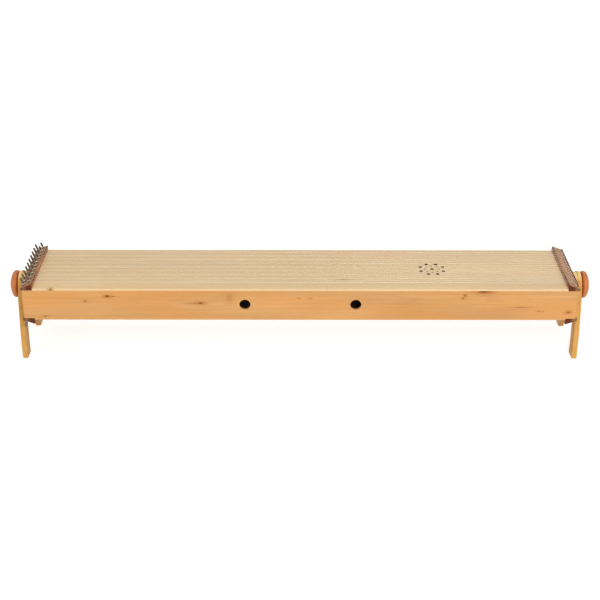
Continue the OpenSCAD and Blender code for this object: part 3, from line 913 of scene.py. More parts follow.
def winding_tree():
    """A string's turns round its tuning pin, and its end through the pin's eye."""
    wiring, given = shaping_tree(
        "Winding on a pin",
        [
            ("Turns", "Float", 4.5),
            ("Radius", "Float", 0.0028),
            ("Start", "Float", 0.003),
            ("Eye", "Float", 0.006),
            ("Tail", "Float", 0.0016),
            ("Thickness", "Float", 0.0005),
            ("Sides", "Int", 6),
        ],
    )
    rise = wiring.maths("MULTIPLY", given["Turns"], wiring.maths("MULTIPLY", given["Thickness"], 1.06))
    top = wiring.maths("ADD", given["Start"], rise)
    coil = wiring.add(
        "GeometryNodeCurveSpiral",
        {
            "Resolution": 18,
            "Rotations": given["Turns"],
            "Start Radius": given["Radius"],
            "End Radius": given["Radius"],
            "Height": rise,
            "Reverse": True,
        },
    ).outputs[0]
    lift = wiring.add("ShaderNodeCombineXYZ", {2: given["Start"]}).outputs[0]
    coil = wiring.add(
        "GeometryNodeTransform",
        {"Geometry": coil, "Translation": lift, "Rotation": (0.0, 0.0, math.pi / 2)},
    ).outputs[0]

    def at(x_share, y_share, height):
        parts = {
            0: wiring.maths("MULTIPLY", given["Radius"], x_share),
            1: wiring.maths("MULTIPLY", given["Radius"], y_share),
            2: height,
        }
        return wiring.add("ShaderNodeCombineXYZ", parts).outputs[0]

    middle = wiring.maths("MULTIPLY", wiring.maths("ADD", top, given["Eye"]), 0.5)
    bend = wiring.add(
        "GeometryNodeCurveQuadraticBezier",
        {
            "Resolution": 10,
            "Start": at(0.0, -1.0, top),
            "Middle": at(0.75, -1.3, middle),
            "End": at(0.0, -0.85, given["Eye"]),
        },
    ).outputs[0]
    outside = wiring.maths("ADD", given["Radius"], given["Tail"])
    tip = wiring.add("ShaderNodeCombineXYZ", {1: outside, 2: given["Eye"]}).outputs[0]
    through = wiring.add(
        "GeometryNodeCurvePrimitiveLine", {"Start": at(0.0, -0.88, given["Eye"]), "End": tip}
    ).outputs[0]
    joined = wiring.add("GeometryNodeJoinGeometry", {0: [through, bend, coil]}).outputs[0]
    return finish_shape(wiring, given, as_wire(wiring, joined, given["Thickness"], given["Sides"]))


def pin_row_tree():
    """A row of round pins with bevelled tops, square to the slope of a rail."""
    wiring, given = shaping_tree(
        "Row of hitch pins",
        [
            ("Count", "Int", 20),
            ("First", "Float", -0.09),
            ("Spacing", "Float", 0.01),
            ("Thickness", "Float", 0.0025),
            ("Above", "Float", 0.005),
            ("Below", "Float", 0.014),
            ("Bevel", "Float", 0.0004),
        ],
    )
    radius = wiring.maths("DIVIDE", given["Thickness"], 2.0)
    shank = wiring.maths("SUBTRACT", wiring.maths("ADD", given["Above"], given["Below"]), given["Bevel"])
    body = wiring.add(
        "GeometryNodeMeshCone",
        {
            "Vertices": 20,
            "Side Segments": 2,
            "Radius Top": radius,
            "Radius Bottom": radius,
            "Depth": shank,
        },
    ).outputs[0]
    top = wiring.add(
        "GeometryNodeMeshCone",
        {
            "Vertices": 20,
            "Radius Top": wiring.maths("SUBTRACT", radius, given["Bevel"]),
            "Radius Bottom": radius,
            "Depth": given["Bevel"],
        },
    ).outputs[0]
    top = wiring.add(
        "GeometryNodeTransform",
        {
            "Geometry": top,
            "Translation": wiring.add("ShaderNodeCombineXYZ", {2: shank}).outputs[0],
        },
    ).outputs[0]
    pin = wiring.add("GeometryNodeJoinGeometry", {0: [top, body]}).outputs[0]
    pin = wiring.add("GeometryNodeMergeByDistance", {"Geometry": pin, "Distance": 1e-6}).outputs[0]
    down = wiring.maths("MULTIPLY", given["Below"], -1.0)
    start = wiring.add("ShaderNodeCombineXYZ", {1: given["First"], 2: down}).outputs[0]
    step = wiring.add("ShaderNodeCombineXYZ", {1: given["Spacing"]}).outputs[0]
    row = wiring.add(
        "GeometryNodeMeshLine", {"Count": given["Count"], "Start Location": start, "Offset": step}
    ).outputs[0]
    pins = wiring.add("GeometryNodeInstanceOnPoints", {"Points": row, "Instance": pin}).outputs[0]
    return finish_shape(wiring, given, pins)


def screw_pair_tree():
    """Two countersunk screws with a cross recess, one at each end of a rail."""
    wiring, given = shaping_tree(
        "Rail screws",
        [
            ("Half Spread", "Float", 0.09),
            ("Head", "Float", 0.006),
            ("Shank", "Float", 0.003),
            ("Length", "Float", 0.028),
        ],
    )
    head_radius = wiring.maths("DIVIDE", given["Head"], 2.0)
    shank_radius = wiring.maths("DIVIDE", given["Shank"], 2.0)
    sink = wiring.maths("SUBTRACT", head_radius, shank_radius)
    head = wiring.add(
        "GeometryNodeMeshCone",
        {
            "Vertices": 32,
            "Radius Top": head_radius,
            "Radius Bottom": shank_radius,
            "Depth": sink,
        },
    ).outputs[0]
    drop = wiring.maths("MULTIPLY", sink, -1.0)
    head = wiring.add(
        "GeometryNodeTransform",
        {"Geometry": head, "Translation": wiring.add("ShaderNodeCombineXYZ", {2: drop}).outputs[0]},
    ).outputs[0]
    bars = []
    for angle in (0.0, math.pi / 2):
        size = wiring.add(
            "ShaderNodeCombineXYZ",
            {
                0: wiring.maths("MULTIPLY", given["Head"], 0.56),
                1: wiring.maths("MULTIPLY", given["Head"], 0.13),
                2: sink,
            },
        ).outputs[0]
        bar = wiring.add("GeometryNodeMeshCube", {"Size": size}).outputs[0]
        bars.append(
            wiring.add(
                "GeometryNodeTransform", {"Geometry": bar, "Rotation": (0.0, 0.0, angle + 0.4)}
            ).outputs[0]
        )
    head = wiring.add(
        "GeometryNodeMeshBoolean", {"Mesh 1": head, "Mesh 2": bars}, operation="DIFFERENCE"
    ).outputs[0]
    reach = wiring.maths("SUBTRACT", given["Length"], sink)
    shank = wiring.add(
        "GeometryNodeMeshCone",
        {
            "Vertices": 20,
            "Radius Top": shank_radius,
            "Radius Bottom": wiring.maths("MULTIPLY", shank_radius, 0.5),
            "Depth": reach,
        },
    ).outputs[0]
    down = wiring.maths("MULTIPLY", given["Length"], -1.0)
    shank = wiring.add(
        "GeometryNodeTransform",
        {"Geometry": shank, "Translation": wiring.add("ShaderNodeCombineXYZ", {2: down}).outputs[0]},
    ).outputs[0]
    screw = wiring.add("GeometryNodeJoinGeometry", {0: [shank, head]}).outputs[0]
    first = wiring.add(
        "ShaderNodeCombineXYZ", {1: wiring.maths("MULTIPLY", given["Half Spread"], -1.0)}
    ).outputs[0]
    step = wiring.add(
        "ShaderNodeCombineXYZ", {1: wiring.maths("MULTIPLY", given["Half Spread"], 2.0)}
    ).outputs[0]
    row = wiring.add(
        "GeometryNodeMeshLine", {"Count": 2, "Start Location": first, "Offset": step}
    ).outputs[0]
    screws = wiring.add("GeometryNodeInstanceOnPoints", {"Points": row, "Instance": screw}).outputs[0]
    return finish_shape(wiring, given, screws)


def thread_tree():
    """A threaded rod along Z, from its tip at the origin."""
    wiring, given = shaping_tree(
        "Threaded rod",
        [("Length", "Float", 0.05), ("Crest", "Float", 0.008), ("Pitch", "Float", 0.00125)],
    )
    depth = wiring.maths("MULTIPLY", given["Pitch"], 0.5)
    root = wiring.maths("SUBTRACT", wiring.maths("DIVIDE", given["Crest"], 2.0), depth)
    core = wiring.add(
        "GeometryNodeMeshCylinder", {"Vertices": 32, "Radius": root, "Depth": given["Length"]}
    ).outputs["Mesh"]
    half = wiring.maths("DIVIDE", given["Length"], 2.0)
    core = wiring.add(
        "GeometryNodeTransform",
        {"Geometry": core, "Translation": wiring.add("ShaderNodeCombineXYZ", {2: half}).outputs[0]},
    ).outputs[0]
    run = wiring.maths("SUBTRACT", given["Length"], wiring.maths("MULTIPLY", given["Pitch"], 1.4))
    ridge = wiring.add(
        "GeometryNodeCurveSpiral",
        {
            "Resolution": 32,
            "Rotations": wiring.maths("DIVIDE", run, given["Pitch"]),
            "Start Radius": root,
            "End Radius": root,
            "Height": run,
            "Reverse": True,
        },
    ).outputs[0]
    lift = wiring.maths("MULTIPLY", given["Pitch"], 0.7)
    ridge = wiring.add(
        "GeometryNodeTransform",
        {"Geometry": ridge, "Translation": wiring.add("ShaderNodeCombineXYZ", {2: lift}).outputs[0]},
    ).outputs[0]
    ridge = as_wire(wiring, ridge, wiring.maths("MULTIPLY", depth, 2.0), 4)
    rod = wiring.add("GeometryNodeJoinGeometry", {0: [core, ridge]}).outputs[0]
    return finish_shape(wiring, given, rod)


TREE_MAKERS = {
    "Wire along a path": wire_tree,
    "Winding on a pin": winding_tree,
    "Row of hitch pins": pin_row_tree,
    "Rail screws": screw_pair_tree,
    "Threaded rod": thread_tree,
}


def grown(name, tree_name, values, place=None, mesh=None):
    """A plain mesh piece, shaped by one geometry tree and moved to its place."""
    tree = bpy.data.node_groups.get(tree_name) or TREE_MAKERS[tree_name]()
    piece = link(mesh or bpy.data.meshes.new(name), name)
    growth = piece.modifiers.new("Growth", "NODES")
    growth.node_group = tree
    sockets = {
        item.name: item.identifier
        for item in tree.interface.items_tree
        if item.item_type == "SOCKET" and item.in_out == "INPUT"
    }
    for label, value in values.items():
        growth[sockets[label]] = value
    settled(piece)
    if place is not None:
        piece.data.transform(place)
        if place.determinant() < 0:
            piece.data.flip_normals()
    return piece


def path_mesh(name, paths):
    """A mesh of open paths, each a list of points."""
    points = [point for path in paths for point in path]
    edges, first = [], 0
    for path in paths:
        edges += [(first + i, first + i + 1) for i in range(len(path) - 1)]
        first += len(path)
    mesh = bpy.data.meshes.new(name)
    mesh.from_pydata(points, edges, [])
    return mesh


# Pieces.


def pin_names(face):
    first = "top_pin_" if face == ABOVE else "bottom_pin_"
    return sorted(name for name in NODES if name.startswith(first) and name[-2:].isdigit())


def pin_joint(pin):
    joint = JOINTS[pin + "_turn"]
    return Vector(joint["pos_m"]), Vector(joint["axis"]).normalized()


def string_offset(wire):
    """Distance from a tuning pin's axis to the string beside it."""
    return wire.pin / 2 + wire.wire / 2 + wire.fit


def hitch_offset(wire):
    return wire.hitch_pin / 2 + wire.wire / 2 + wire.hitch_play


def string_path(pin, face, section, wire, rails):
    """A string from its coil over both ridges, round its hitch pin and back."""
    foot, _ = pin_joint(pin)
    y = foot.y + string_offset(wire)
    near, far = corner_frame(LEFT, face), corner_frame(RIGHT, face)
    path = []

    def put(corner, flat, side=0.0):
        path.append(corner @ Vector((flat.x, y + side, flat.y)))

    start = section.over(foot.x + HALF_LENGTH, wire.coil_start)
    angle = section.climb(start)
    put(near, start)
    for step in range(9):
        put(near, section.on_ridge(angle * (1 - step / 8)))
    end = section.over(wire.hitch_row, wire.loop_height)
    angle = section.climb(end)
    for step in range(9):
        put(far, section.on_ridge(angle * step / 8))

    # The neck lies on the line from the ridge to the pin, with two strands.
    down = Vector((-math.cos(angle), -math.sin(angle)))
    up = Vector((-down.y, down.x))
    up = up if up.y > 0 else -up
    meets = section.on_ridge(angle)
    reach = (end - meets).length
    fork = 5.5 * MM
    neck_end = reach - fork
    neck_start = neck_end - wire.twist_length
    steps = int(wire.twist_length / wire.twist_pitch * 10)
    twist = [
        (neck_start + wire.twist_length * i / steps, 2 * math.pi * i / 10) for i in range(steps + 1)
    ]
    apart = wire.wire * 0.52

    def strand(s, turn, radius):
        flat = meets + down * s + up * radius * math.sin(turn)
        put(far, flat, radius * math.cos(turn))

    for s, turn in twist:
        strand(s, turn, apart * min(1.0, (s - neck_start) / (2 * MM)))
    # Round the hitch pin, seen along the pin: from its +Y flank to its -Y flank.
    pin_side = hitch_offset(wire)
    outboard = Vector((-math.cos(section.fall), -math.sin(section.fall)))
    for step in range(15):
        turn = math.pi * step / 14
        flat = end + outboard * pin_side * math.sin(turn)
        put(far, flat, pin_side * math.cos(turn) - pin_side)
    for s, turn in reversed(twist):
        strand(s, turn + math.pi, apart)
    return path


def hollow_of_box(woods):
    """Half width and half height just past the inner faces, and the colour of the painted shade there."""
    board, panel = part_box("top_soundboard"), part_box("front_side")
    return -panel[1].y + 0.1 * MM, board[0].z - AXIS_Z + 0.1 * MM, woods.hollow


class MONOCHORD_OT_soundboards(bpy.types.Operator):
    """Both soundboards in straight-grained spruce with pale sawn edges"""

    bl_idname = "monochord.soundboards"
    bl_label = "Soundboards"

    def execute(self, context):
        woods = context.scene.monochord_woods
        limits = (-FRONT_Y - 0.9 * MM, -FRONT_Y - 0.3 * MM)
        rosette = (HALF_LENGTH - woods.rosette, 0.0, 0.0)
        # The top board's sawn edges are paler, partly their own tone and partly a painted highlight; the
        # bottom board's edges take the side panels' colour.
        for node, seed, knots, edge in (
            ("top_soundboard", 0.0, TOP_BOARD_MARKS, woods.spruce_edge_highlight),
            ("bottom_soundboard", 3.7, (), woods.side),
        ):
            spruce = wood(
                node + "_spruce",
                woods.spruce,
                [c * s for c, s in zip(woods.spruce, (0.78, 0.70, 0.58))],
                pith=(0.0, -0.9, AXIS_Z),
                ring_width=1.9 * MM,
                wobble=7 * MM,
                ring_contrast=0.24,
                streaks=0.42,
                blotches=0.07,
                patch_colour=[c * s for c, s in zip(woods.spruce, (0.98, 0.90, 0.82))],
                patches=0.5,
                seed=seed,
                knots=knots,
                knot_colour=paint(92, 48, 8),
                halo_colour=paint(196, 148, 88),
                edge_tone_and_painted_light=edge,
                edge_from=limits,
                # Painted shade on the walls of the rosette's holes.
                drilled=(rosette, woods.rosette_reach, woods.hole_wall_shade),
                # Painted shade on the wood that faces the inside of the box.
                inside=hollow_of_box(woods),
                end_grain=0.5,
                roughness=0.5,
                coat=0.05,
                wear=0.3,
            )
            board = eased_copy(node, node + "_eased", spruce, 0.25 * MM)
            attach(board, "soundbox", "spruce", node)
        return {"FINISHED"}


class MONOCHORD_OT_sides(bpy.types.Operator):
    """Front and back panels with their sound holes, knots and brown streaks"""

    bl_idname = "monochord.sides"
    bl_label = "Side panels"

    def execute(self, context):
        woods = context.scene.monochord_woods
        for node, sign, seed, knots in (
            ("front_side", -1, 0.0, FRONT_KNOTS),
            ("back_side", 1, 8.1, BACK_KNOTS),
        ):
            panel_wood = wood(
                node + "_wood",
                woods.side,
                woods.side_dark,
                pith=(0.0, sign * (-FRONT_Y + 40 * MM), AXIS_Z + 12 * MM),
                ring_width=3.6 * MM,
                wobble=22 * MM,
                ring_contrast=0.26,
                streaks=0.4,
                blotches=0.16,
                patch_colour=woods.side_stain,
                patches=0.7,
                seed=seed,
                knots=knots,
                # Painted shade on the inner faces, which face the inside of the box.
                inside=hollow_of_box(woods),
                knot_colour=woods.knot,
                halo_colour=woods.knot_halo,
                end_grain=0.5,
                roughness=0.46,
                coat=0.03,
                wear=0.35,
            )
            panel = eased_copy(node, node + "_eased", panel_wood, woods.board_easing)
            attach(panel, "soundbox", "side_wood", node)
        return {"FINISHED"}


class MONOCHORD_OT_ends(bpy.types.Operator):
    """End blocks between the side panels, with their grain from front to back"""

    bl_idname = "monochord.ends"
    bl_label = "End blocks"

    def execute(self, context):
        woods = context.scene.monochord_woods
        block_wood = wood(
            "end_block_wood",
            woods.block,
            [c * s for c, s in zip(woods.block, (0.78, 0.70, 0.62))],
            grain="Y",
            pith=(0.0, 0.66, AXIS_Z - 60 * MM),
            ring_width=2.6 * MM,
            wobble=5 * MM,
            ring_contrast=0.55,
            streaks=0.3,
            seed=5.2,
            roughness=0.42,
        )
        for node in ("left_end_block", "right_end_block"):
            block = eased_copy(
                node, node + "_eased", block_wood, woods.board_easing, shortest=9 * MM
            )
            attach(block, "soundbox", "block_wood", node)
        return {"FINISHED"}


class MONOCHORD_OT_inside(bpy.types.Operator):
    """Linings, braces and threaded inserts inside the box"""

    bl_idname = "monochord.inside"
    bl_label = "Inside of the box"

    def execute(self, context):
        woods = context.scene.monochord_woods
        wire = context.scene.monochord_wire
        darker = [c * s for c, s in zip(woods.lining, (0.82, 0.74, 0.64))]
        lining_wood = wood("lining_wood", woods.lining, darker, roughness=0.6, coat=0.0, seed=2.0)
        brace_wood = wood(
            "brace_wood", woods.lining, darker, grain="Y", roughness=0.6, coat=0.0, seed=4.0
        )
        brass = metal(
            "insert_brass", wire.brass, [c * 0.7 for c in wire.brass], roughness=0.28
        )
        for node, material in (
            ("side_linings", lining_wood),
            ("cross_braces", brace_wood),
            ("threaded_inserts", brass),
        ):
            slots = NODES[node].material_slots
            for index in range(len(slots)):
                slots[index].link = "OBJECT"
                slots[index].material = material
        return {"FINISHED"}


class MONOCHORD_OT_rails(bpy.types.Operator):
    """The four dark wedge rails that the strings cross"""

    bl_idname = "monochord.rails"
    bl_label = "Rails"

    def execute(self, context):
        woods = context.scene.monochord_woods
        rail_wood = wood(
            "rail_wood",
            woods.rail,
            woods.rail_dark,
            grain="Y",
            pith=(0.0, 0.9, AXIS_Z - 30 * MM),
            ring_width=2.2 * MM,
            wobble=4 * MM,
            ring_contrast=0.45,
            streaks=0.5,
            blotches=0.2,
            seed=1.3,
            end_grain=0.97,
            end_colour=woods.rail_end,
            roughness=0.46,
            coat=0.0,
            relief=0.35,
            wear=0.3,
        )
        for node in ("top_pin_rail", "bottom_pin_rail", "top_hitch_rail", "bottom_hitch_rail"):
            rail = eased_copy(node, node + "_eased", rail_wood, woods.rail_easing, shortest=9 * MM)
            attach(rail, "soundbox", "rail_wood", node)
        return {"FINISHED"}


class MONOCHORD_OT_rail_screws(bpy.types.Operator):
    """Countersunk screws in the two hitch rails"""

    bl_idname = "monochord.rail_screws"
    bl_label = "Rail screws"

    def execute(self, context):
        rails = context.scene.monochord_rails
        wire = context.scene.monochord_wire
        section = RailSection(rails, wire)
        steel = dark_steel(wire)
        made = []
        for face, word in ((ABOVE, "top"), (BELOW, "bottom")):
            ys = [pin_joint(pin)[0].y for pin in pin_names(face)]
            pair = grown(
                word + "_rail_screws",
                "Rail screws",
                {
                    "Half Spread": (ys[-1] + ys[-2]) / 2,
                    "Head": rails.screw_head,
                    "Shank": rails.screw_shank,
                    "Length": rails.screw_length,
                    "Material": steel,
                },
                section.slope_frame(RIGHT, face, rails.screw_row),
            )
            made.append(attach(pair, "soundbox", "dark_steel"))
        for pair in made:
            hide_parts("rail_screws")
        return {"FINISHED"}


def dark_steel(wire):
    return bpy.data.materials.get("hitch_steel") or metal(
        "hitch_steel", wire.dark_steel, [c * 0.55 for c in wire.dark_steel], roughness=0.34
    )


def string_steel(wire):
    return bpy.data.materials.get("string_steel") or metal(
        "string_steel", wire.string, [c * 0.8 for c in wire.string], roughness=0.46, dullness=0.1
    )


class MONOCHORD_OT_hitch_pins(bpy.types.Operator):
    """Rows of hitch pins along the outer edges of the hitch rails"""

    bl_idname = "monochord.hitch_pins"
    bl_label = "Hitch pins"

    def execute(self, context):
        rails = context.scene.monochord_rails
        wire = context.scene.monochord_wire
        section = RailSection(rails, wire)
        for face, word in ((ABOVE, "top"), (BELOW, "bottom")):
            ys = [pin_joint(pin)[0].y for pin in pin_names(face)]
            node = word + "_hitch_pins"
            row = grown(
                node + "_row",
                "Row of hitch pins",
                {
                    "Count": len(ys),
                    "First": ys[0] + string_offset(wire) - hitch_offset(wire),
                    "Spacing": (ys[-1] - ys[0]) / (len(ys) - 1),
                    "Thickness": wire.hitch_pin,
                    "Above": wire.hitch_above,
                    "Below": wire.hitch_below,
                    "Material": dark_steel(wire),
                },
                section.slope_frame(RIGHT, face, wire.hitch_row),
            )
            attach(row, "soundbox", "dark_steel", node)
        return {"FINISHED"}


class MONOCHORD_OT_strings(bpy.types.Operator):
    """Strings over both ridges, with a twisted loop on each hitch pin"""

    bl_idname = "monochord.strings"
    bl_label = "Strings"

    def execute(self, context):
        rails = context.scene.monochord_rails
        wire = context.scene.monochord_wire
        section = RailSection(rails, wire)
        for face, node in ((ABOVE, "top_strings"), (BELOW, "bottom_strings")):
            paths = [string_path(pin, face, section, wire, rails) for pin in pin_names(face)]
            strings = grown(
                node + "_wire",
                "Wire along a path",
                {"Thickness": wire.wire, "Sides": 6, "Material": string_steel(wire)},
                mesh=path_mesh(node + "_path", paths),
            )
            attach(strings, "soundbox", "string_steel", node)
        return {"FINISHED"}


class MONOCHORD_OT_tuning_pins(bpy.types.Operator):
    """Tuning pins with square heads, and the string wound on each"""

    bl_idname = "monochord.tuning_pins"
    bl_label = "Tuning pins and windings"

    def execute(self, context):
        wire = context.scene.monochord_wire
        steel = metal(
            "pin_steel", wire.steel, [c * 0.5 for c in wire.steel], roughness=0.3, dullness=0.25
        )
        for pin in pin_names(ABOVE) + pin_names(BELOW):
            dressed = eased_copy(pin, pin + "_eased", steel, 0.12 * MM, corner=40.0)
            attach(dressed, pin, "pin_steel", pin)
            foot, axis = pin_joint(pin)
            inboard = Vector((abs(axis.z), 0, abs(axis.x) * (1 if axis.z > 0 else -1)))
            frame_at_pin = Matrix.Translation(foot) @ Matrix(
                (
                    (inboard.x, 0, axis.x, 0),
                    (0, 1, 0, 0),
                    (inboard.z, 0, axis.z, 0),
                    (0, 0, 0, 1),
                )
            )
            winding = grown(
                pin + "_winding",
                "Winding on a pin",
                {
                    "Turns": wire.turns,
                    "Radius": string_offset(wire),
                    "Start": wire.coil_start,
                    "Eye": wire.eye,
                    "Tail": wire.tail,
                    "Thickness": wire.wire,
                    "Material": string_steel(wire),
                },
                frame_at_pin,
            )
            attach(winding, pin, "string_steel")
        return {"FINISHED"}


class MONOCHORD_OT_stands(bpy.types.Operator):
    """Arched end stands and their collars, with rounded edges"""

    bl_idname = "monochord.stands"
    bl_label = "Stands"

    def execute(self, context):
        woods = context.scene.monochord_woods
        clamps = context.scene.monochord_clamps
        for word, end, seed in (("left", LEFT, 0.0), ("right", RIGHT, 6.4)):
            stand_wood = wood(
                word + "_stand_wood",
                woods.stand,
                woods.stand_dark,
                grain="Z",
                pith=(0.0, 0.06, -end * (HALF_LENGTH - 90 * MM)),
                ring_width=2.8 * MM,
                wobble=5 * MM,
                ring_contrast=0.55,
                streaks=0.35,
                blotches=0.16,
                seed=seed,
                # Painted highlight: the end-grain tops are pale.
                end_grain=0.75,
                end_colour=woods.stand_top_highlight,
                roughness=0.48,
                coat=0.0,
                wear=0.4,
            )
            stand = eased_copy(
                word + "_stand",
                word + "_stand_eased",
                stand_wood,
                woods.stand_easing,
                segments=3,
                merge=0.06 * MM,
                reshape=widened(
                    end,
                    clamps.head_growth,
                    clamps.lean,
                    outboard(end, word + "_stand")[1],
                    fade_depth=60 * MM,
                ),
            )
            attach(stand, word + "_stand", "stand_wood", word + "_stand")
            collar = eased_copy(
                word + "_collar",
                word + "_collar_eased",
                stand_wood,
                0.5 * MM,
                reshape=widened(
                    end, clamps.collar_growth, clamps.lean, outboard(end, word + "_collar")[0]
                ),
            )
            attach(collar, word + "_stand", "stand_wood", word + "_collar")
        return {"FINISHED"}


class MONOCHORD_OT_knobs(bpy.types.Operator):
    """Turned clamping knobs with lathe marks"""

    bl_idname = "monochord.knobs"
    bl_label = "Knobs"

    def execute(self, context):
        woods = context.scene.monochord_woods
        clamps = context.scene.monochord_clamps
        for word, end, seed in (("left", LEFT, 0.0), ("right", RIGHT, 2.9)):
            knob_wood = wood(
                word + "_knob_wood",
                woods.knob,
                woods.knob_dark,
                grain="Z",
                pith=(0.0, 0.05, 0.0),
                ring_width=2.4 * MM,
                wobble=4 * MM,
                ring_contrast=0.5,
                streaks=0.35,
                blotches=0.2,
                seed=seed,
                end_grain=0.25,
                # Painted shade: the inner rim, towards the stand, is darker.
                edge_tone_and_painted_light=woods.knob_rim,
                edge_axis=0,
                edge_from=(HALF_LENGTH + 27 * MM, HALF_LENGTH + 33 * MM, 0.75, 0.0),
                turned=True,
                roughness=0.36,
                coat=0.08,
                wear=0.3,
            )
            node = word + "_knob"
            low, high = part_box(node)
            profile = knob_profile(clamps, *outboard(end, node), (high.y - low.y) / 2)
            knob = turned_piece(node + "_turned", profile, end, knob_wood)
            attach(knob, node, "knob_wood", node)
        return {"FINISHED"}


class MONOCHORD_OT_clamps(bpy.types.Operator):
    """Threaded studs and washers of the two clamps"""

    bl_idname = "monochord.clamps"
    bl_label = "Studs and washers"

    def execute(self, context):
        wire = context.scene.monochord_wire
        zinc = metal("zinc_plate", wire.zinc, [c * 0.7 for c in wire.zinc], roughness=0.3)
        for word in ("left", "right"):
            washer = eased_copy(word + "_washer", word + "_washer_eased", zinc, 0.25 * MM)
            attach(washer, word + "_washer", "zinc_steel", word + "_washer")
            low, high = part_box(word + "_stud")
            # The rod grows from its tip inside the block outwards.
            outward = Vector((-1, 0, 0)) if word == "left" else Vector((1, 0, 0))
            tip = Vector((high.x if word == "left" else low.x, 0, AXIS_Z))
            turn = Vector((0, 0, 1)).rotation_difference(outward).to_matrix().to_4x4()
            stud = grown(
                word + "_stud_thread",
                "Threaded rod",
                {
                    "Length": high.x - low.x,
                    "Crest": high.y - low.y,
                    "Pitch": wire.thread_pitch,
                    "Material": zinc,
                },
                Matrix.Translation(tip) @ turn,
            )
            attach(stud, word + "_knob", "zinc_steel", word + "_stud")
        return {"FINISHED"}


class MONOCHORD_OT_studio(bpy.types.Operator):
    """Pale floor, soft lights and the camera at the picture's angle"""

    bl_idname = "monochord.studio"
    bl_label = "Studio"

    def execute(self, context):
        studio = context.scene.monochord_studio
        context.scene.view_settings.view_transform = "Standard"
        self.floor(studio)
        self.surroundings(context, studio)
        self.lamps(studio)
        self.camera(context, studio)
        return {"FINISHED"}

    def floor(self, studio):
        mesh = bpy.data.meshes.new("studio_floor")
        size = 30.0
        mesh.from_pydata(
            [(-size, -size, 0), (size, -size, 0), (size, size, 0), (-size, size, 0)],
            [],
            [(0, 1, 2, 3)],
        )
        floor = link(mesh, "studio_floor")
        material, wiring = new_material("studio_floor")
        paths = wiring.add("ShaderNodeLightPath").outputs
        behind = wiring.add("ShaderNodeNewGeometry").outputs["Backfacing"]
        seen = wiring.maths("MAXIMUM", paths["Is Camera Ray"], paths["Is Glossy Ray"])
        seen = wiring.maths("MAXIMUM", seen, paths["Is Transmission Ray"])
        matt = wiring.add(
            "ShaderNodeBsdfPrincipled",
            {
                "Base Color": (*studio.floor, 1),
                "Roughness": 0.9,
                "Specular IOR Level": 0.0,
                "Emission Color": (1, 1, 1, 1),
                "Emission Strength": wiring.maths("MULTIPLY", seen, studio.floor_glow),
            },
        ).outputs[0]
        clear = wiring.add("ShaderNodeBsdfTransparent").outputs[0]
        both = wiring.add("ShaderNodeMixShader", {0: behind, 1: matt, 2: clear}).outputs[0]
        wiring.add("ShaderNodeOutputMaterial", {"Surface": both})
        mesh.materials.append(material)

    def surroundings(self, context, studio):
        world = bpy.data.worlds.new("studio")
        world.use_nodes = True
        world.node_tree.nodes.clear()
        wiring = Wiring(world.node_tree)
        paths = wiring.add("ShaderNodeLightPath").outputs
        seen = wiring.maths("MAXIMUM", paths["Is Camera Ray"], paths["Is Glossy Ray"])
        seen = wiring.maths("MAXIMUM", seen, paths["Is Transmission Ray"])
        light = wiring.add("ShaderNodeBackground", {0: (1, 1, 1, 1), 1: studio.ambient}).outputs[0]
        white = wiring.add("ShaderNodeBackground", {0: (1, 1, 1, 1), 1: 1.0}).outputs[0]
        both = wiring.add("ShaderNodeMixShader", {0: seen, 1: light, 2: white}).outputs[0]
        wiring.add("ShaderNodeOutputWorld", {"Surface": both})
        context.scene.world = world

    def lamps(self, studio):
        for name, power, size, place, aim in (
            ("key_light", studio.key, 1.8, (0.9, -3.0, 1.9), (0.1, 0, 0.1)),
            ("fill_light", studio.fill, 1.6, (-2.2, -2.0, 1.4), (-0.1, 0, 0.1)),
            ("top_light", studio.top, 2.6, (0.1, 0.3, 3.1), (0, 0, 0.1)),
        ):
            light = bpy.data.lights.new(name, "AREA")
            light.energy = power
            light.size = size
            lamp = bpy.data.objects.new(name, light)
            bpy.context.scene.collection.objects.link(lamp)
            way = Vector(aim) - Vector(place)
            lamp.location = place
            lamp.rotation_euler = way.to_track_quat("-Z", "Y").to_euler()

    def camera(self, context, studio):
        data = bpy.data.cameras.new("camera")
        data.lens = studio.focal
        data.sensor_width = 36
        data.clip_end = 100
        camera = bpy.data.objects.new("camera", data)
        context.scene.collection.objects.link(camera)
        flat = math.cos(studio.elevation)
        back = Vector(
            (
                math.sin(studio.azimuth) * flat,
                -math.cos(studio.azimuth) * flat,
                math.sin(studio.elevation),
            )
        )
        camera.location = Vector(studio.target) + studio.distance * back
        level = Euler((math.pi / 2 - studio.elevation, 0, studio.azimuth)).to_matrix()
        camera.rotation_euler = (level @ Matrix.Rotation(studio.roll, 3, "Z")).to_euler()
        context.scene.camera = camera


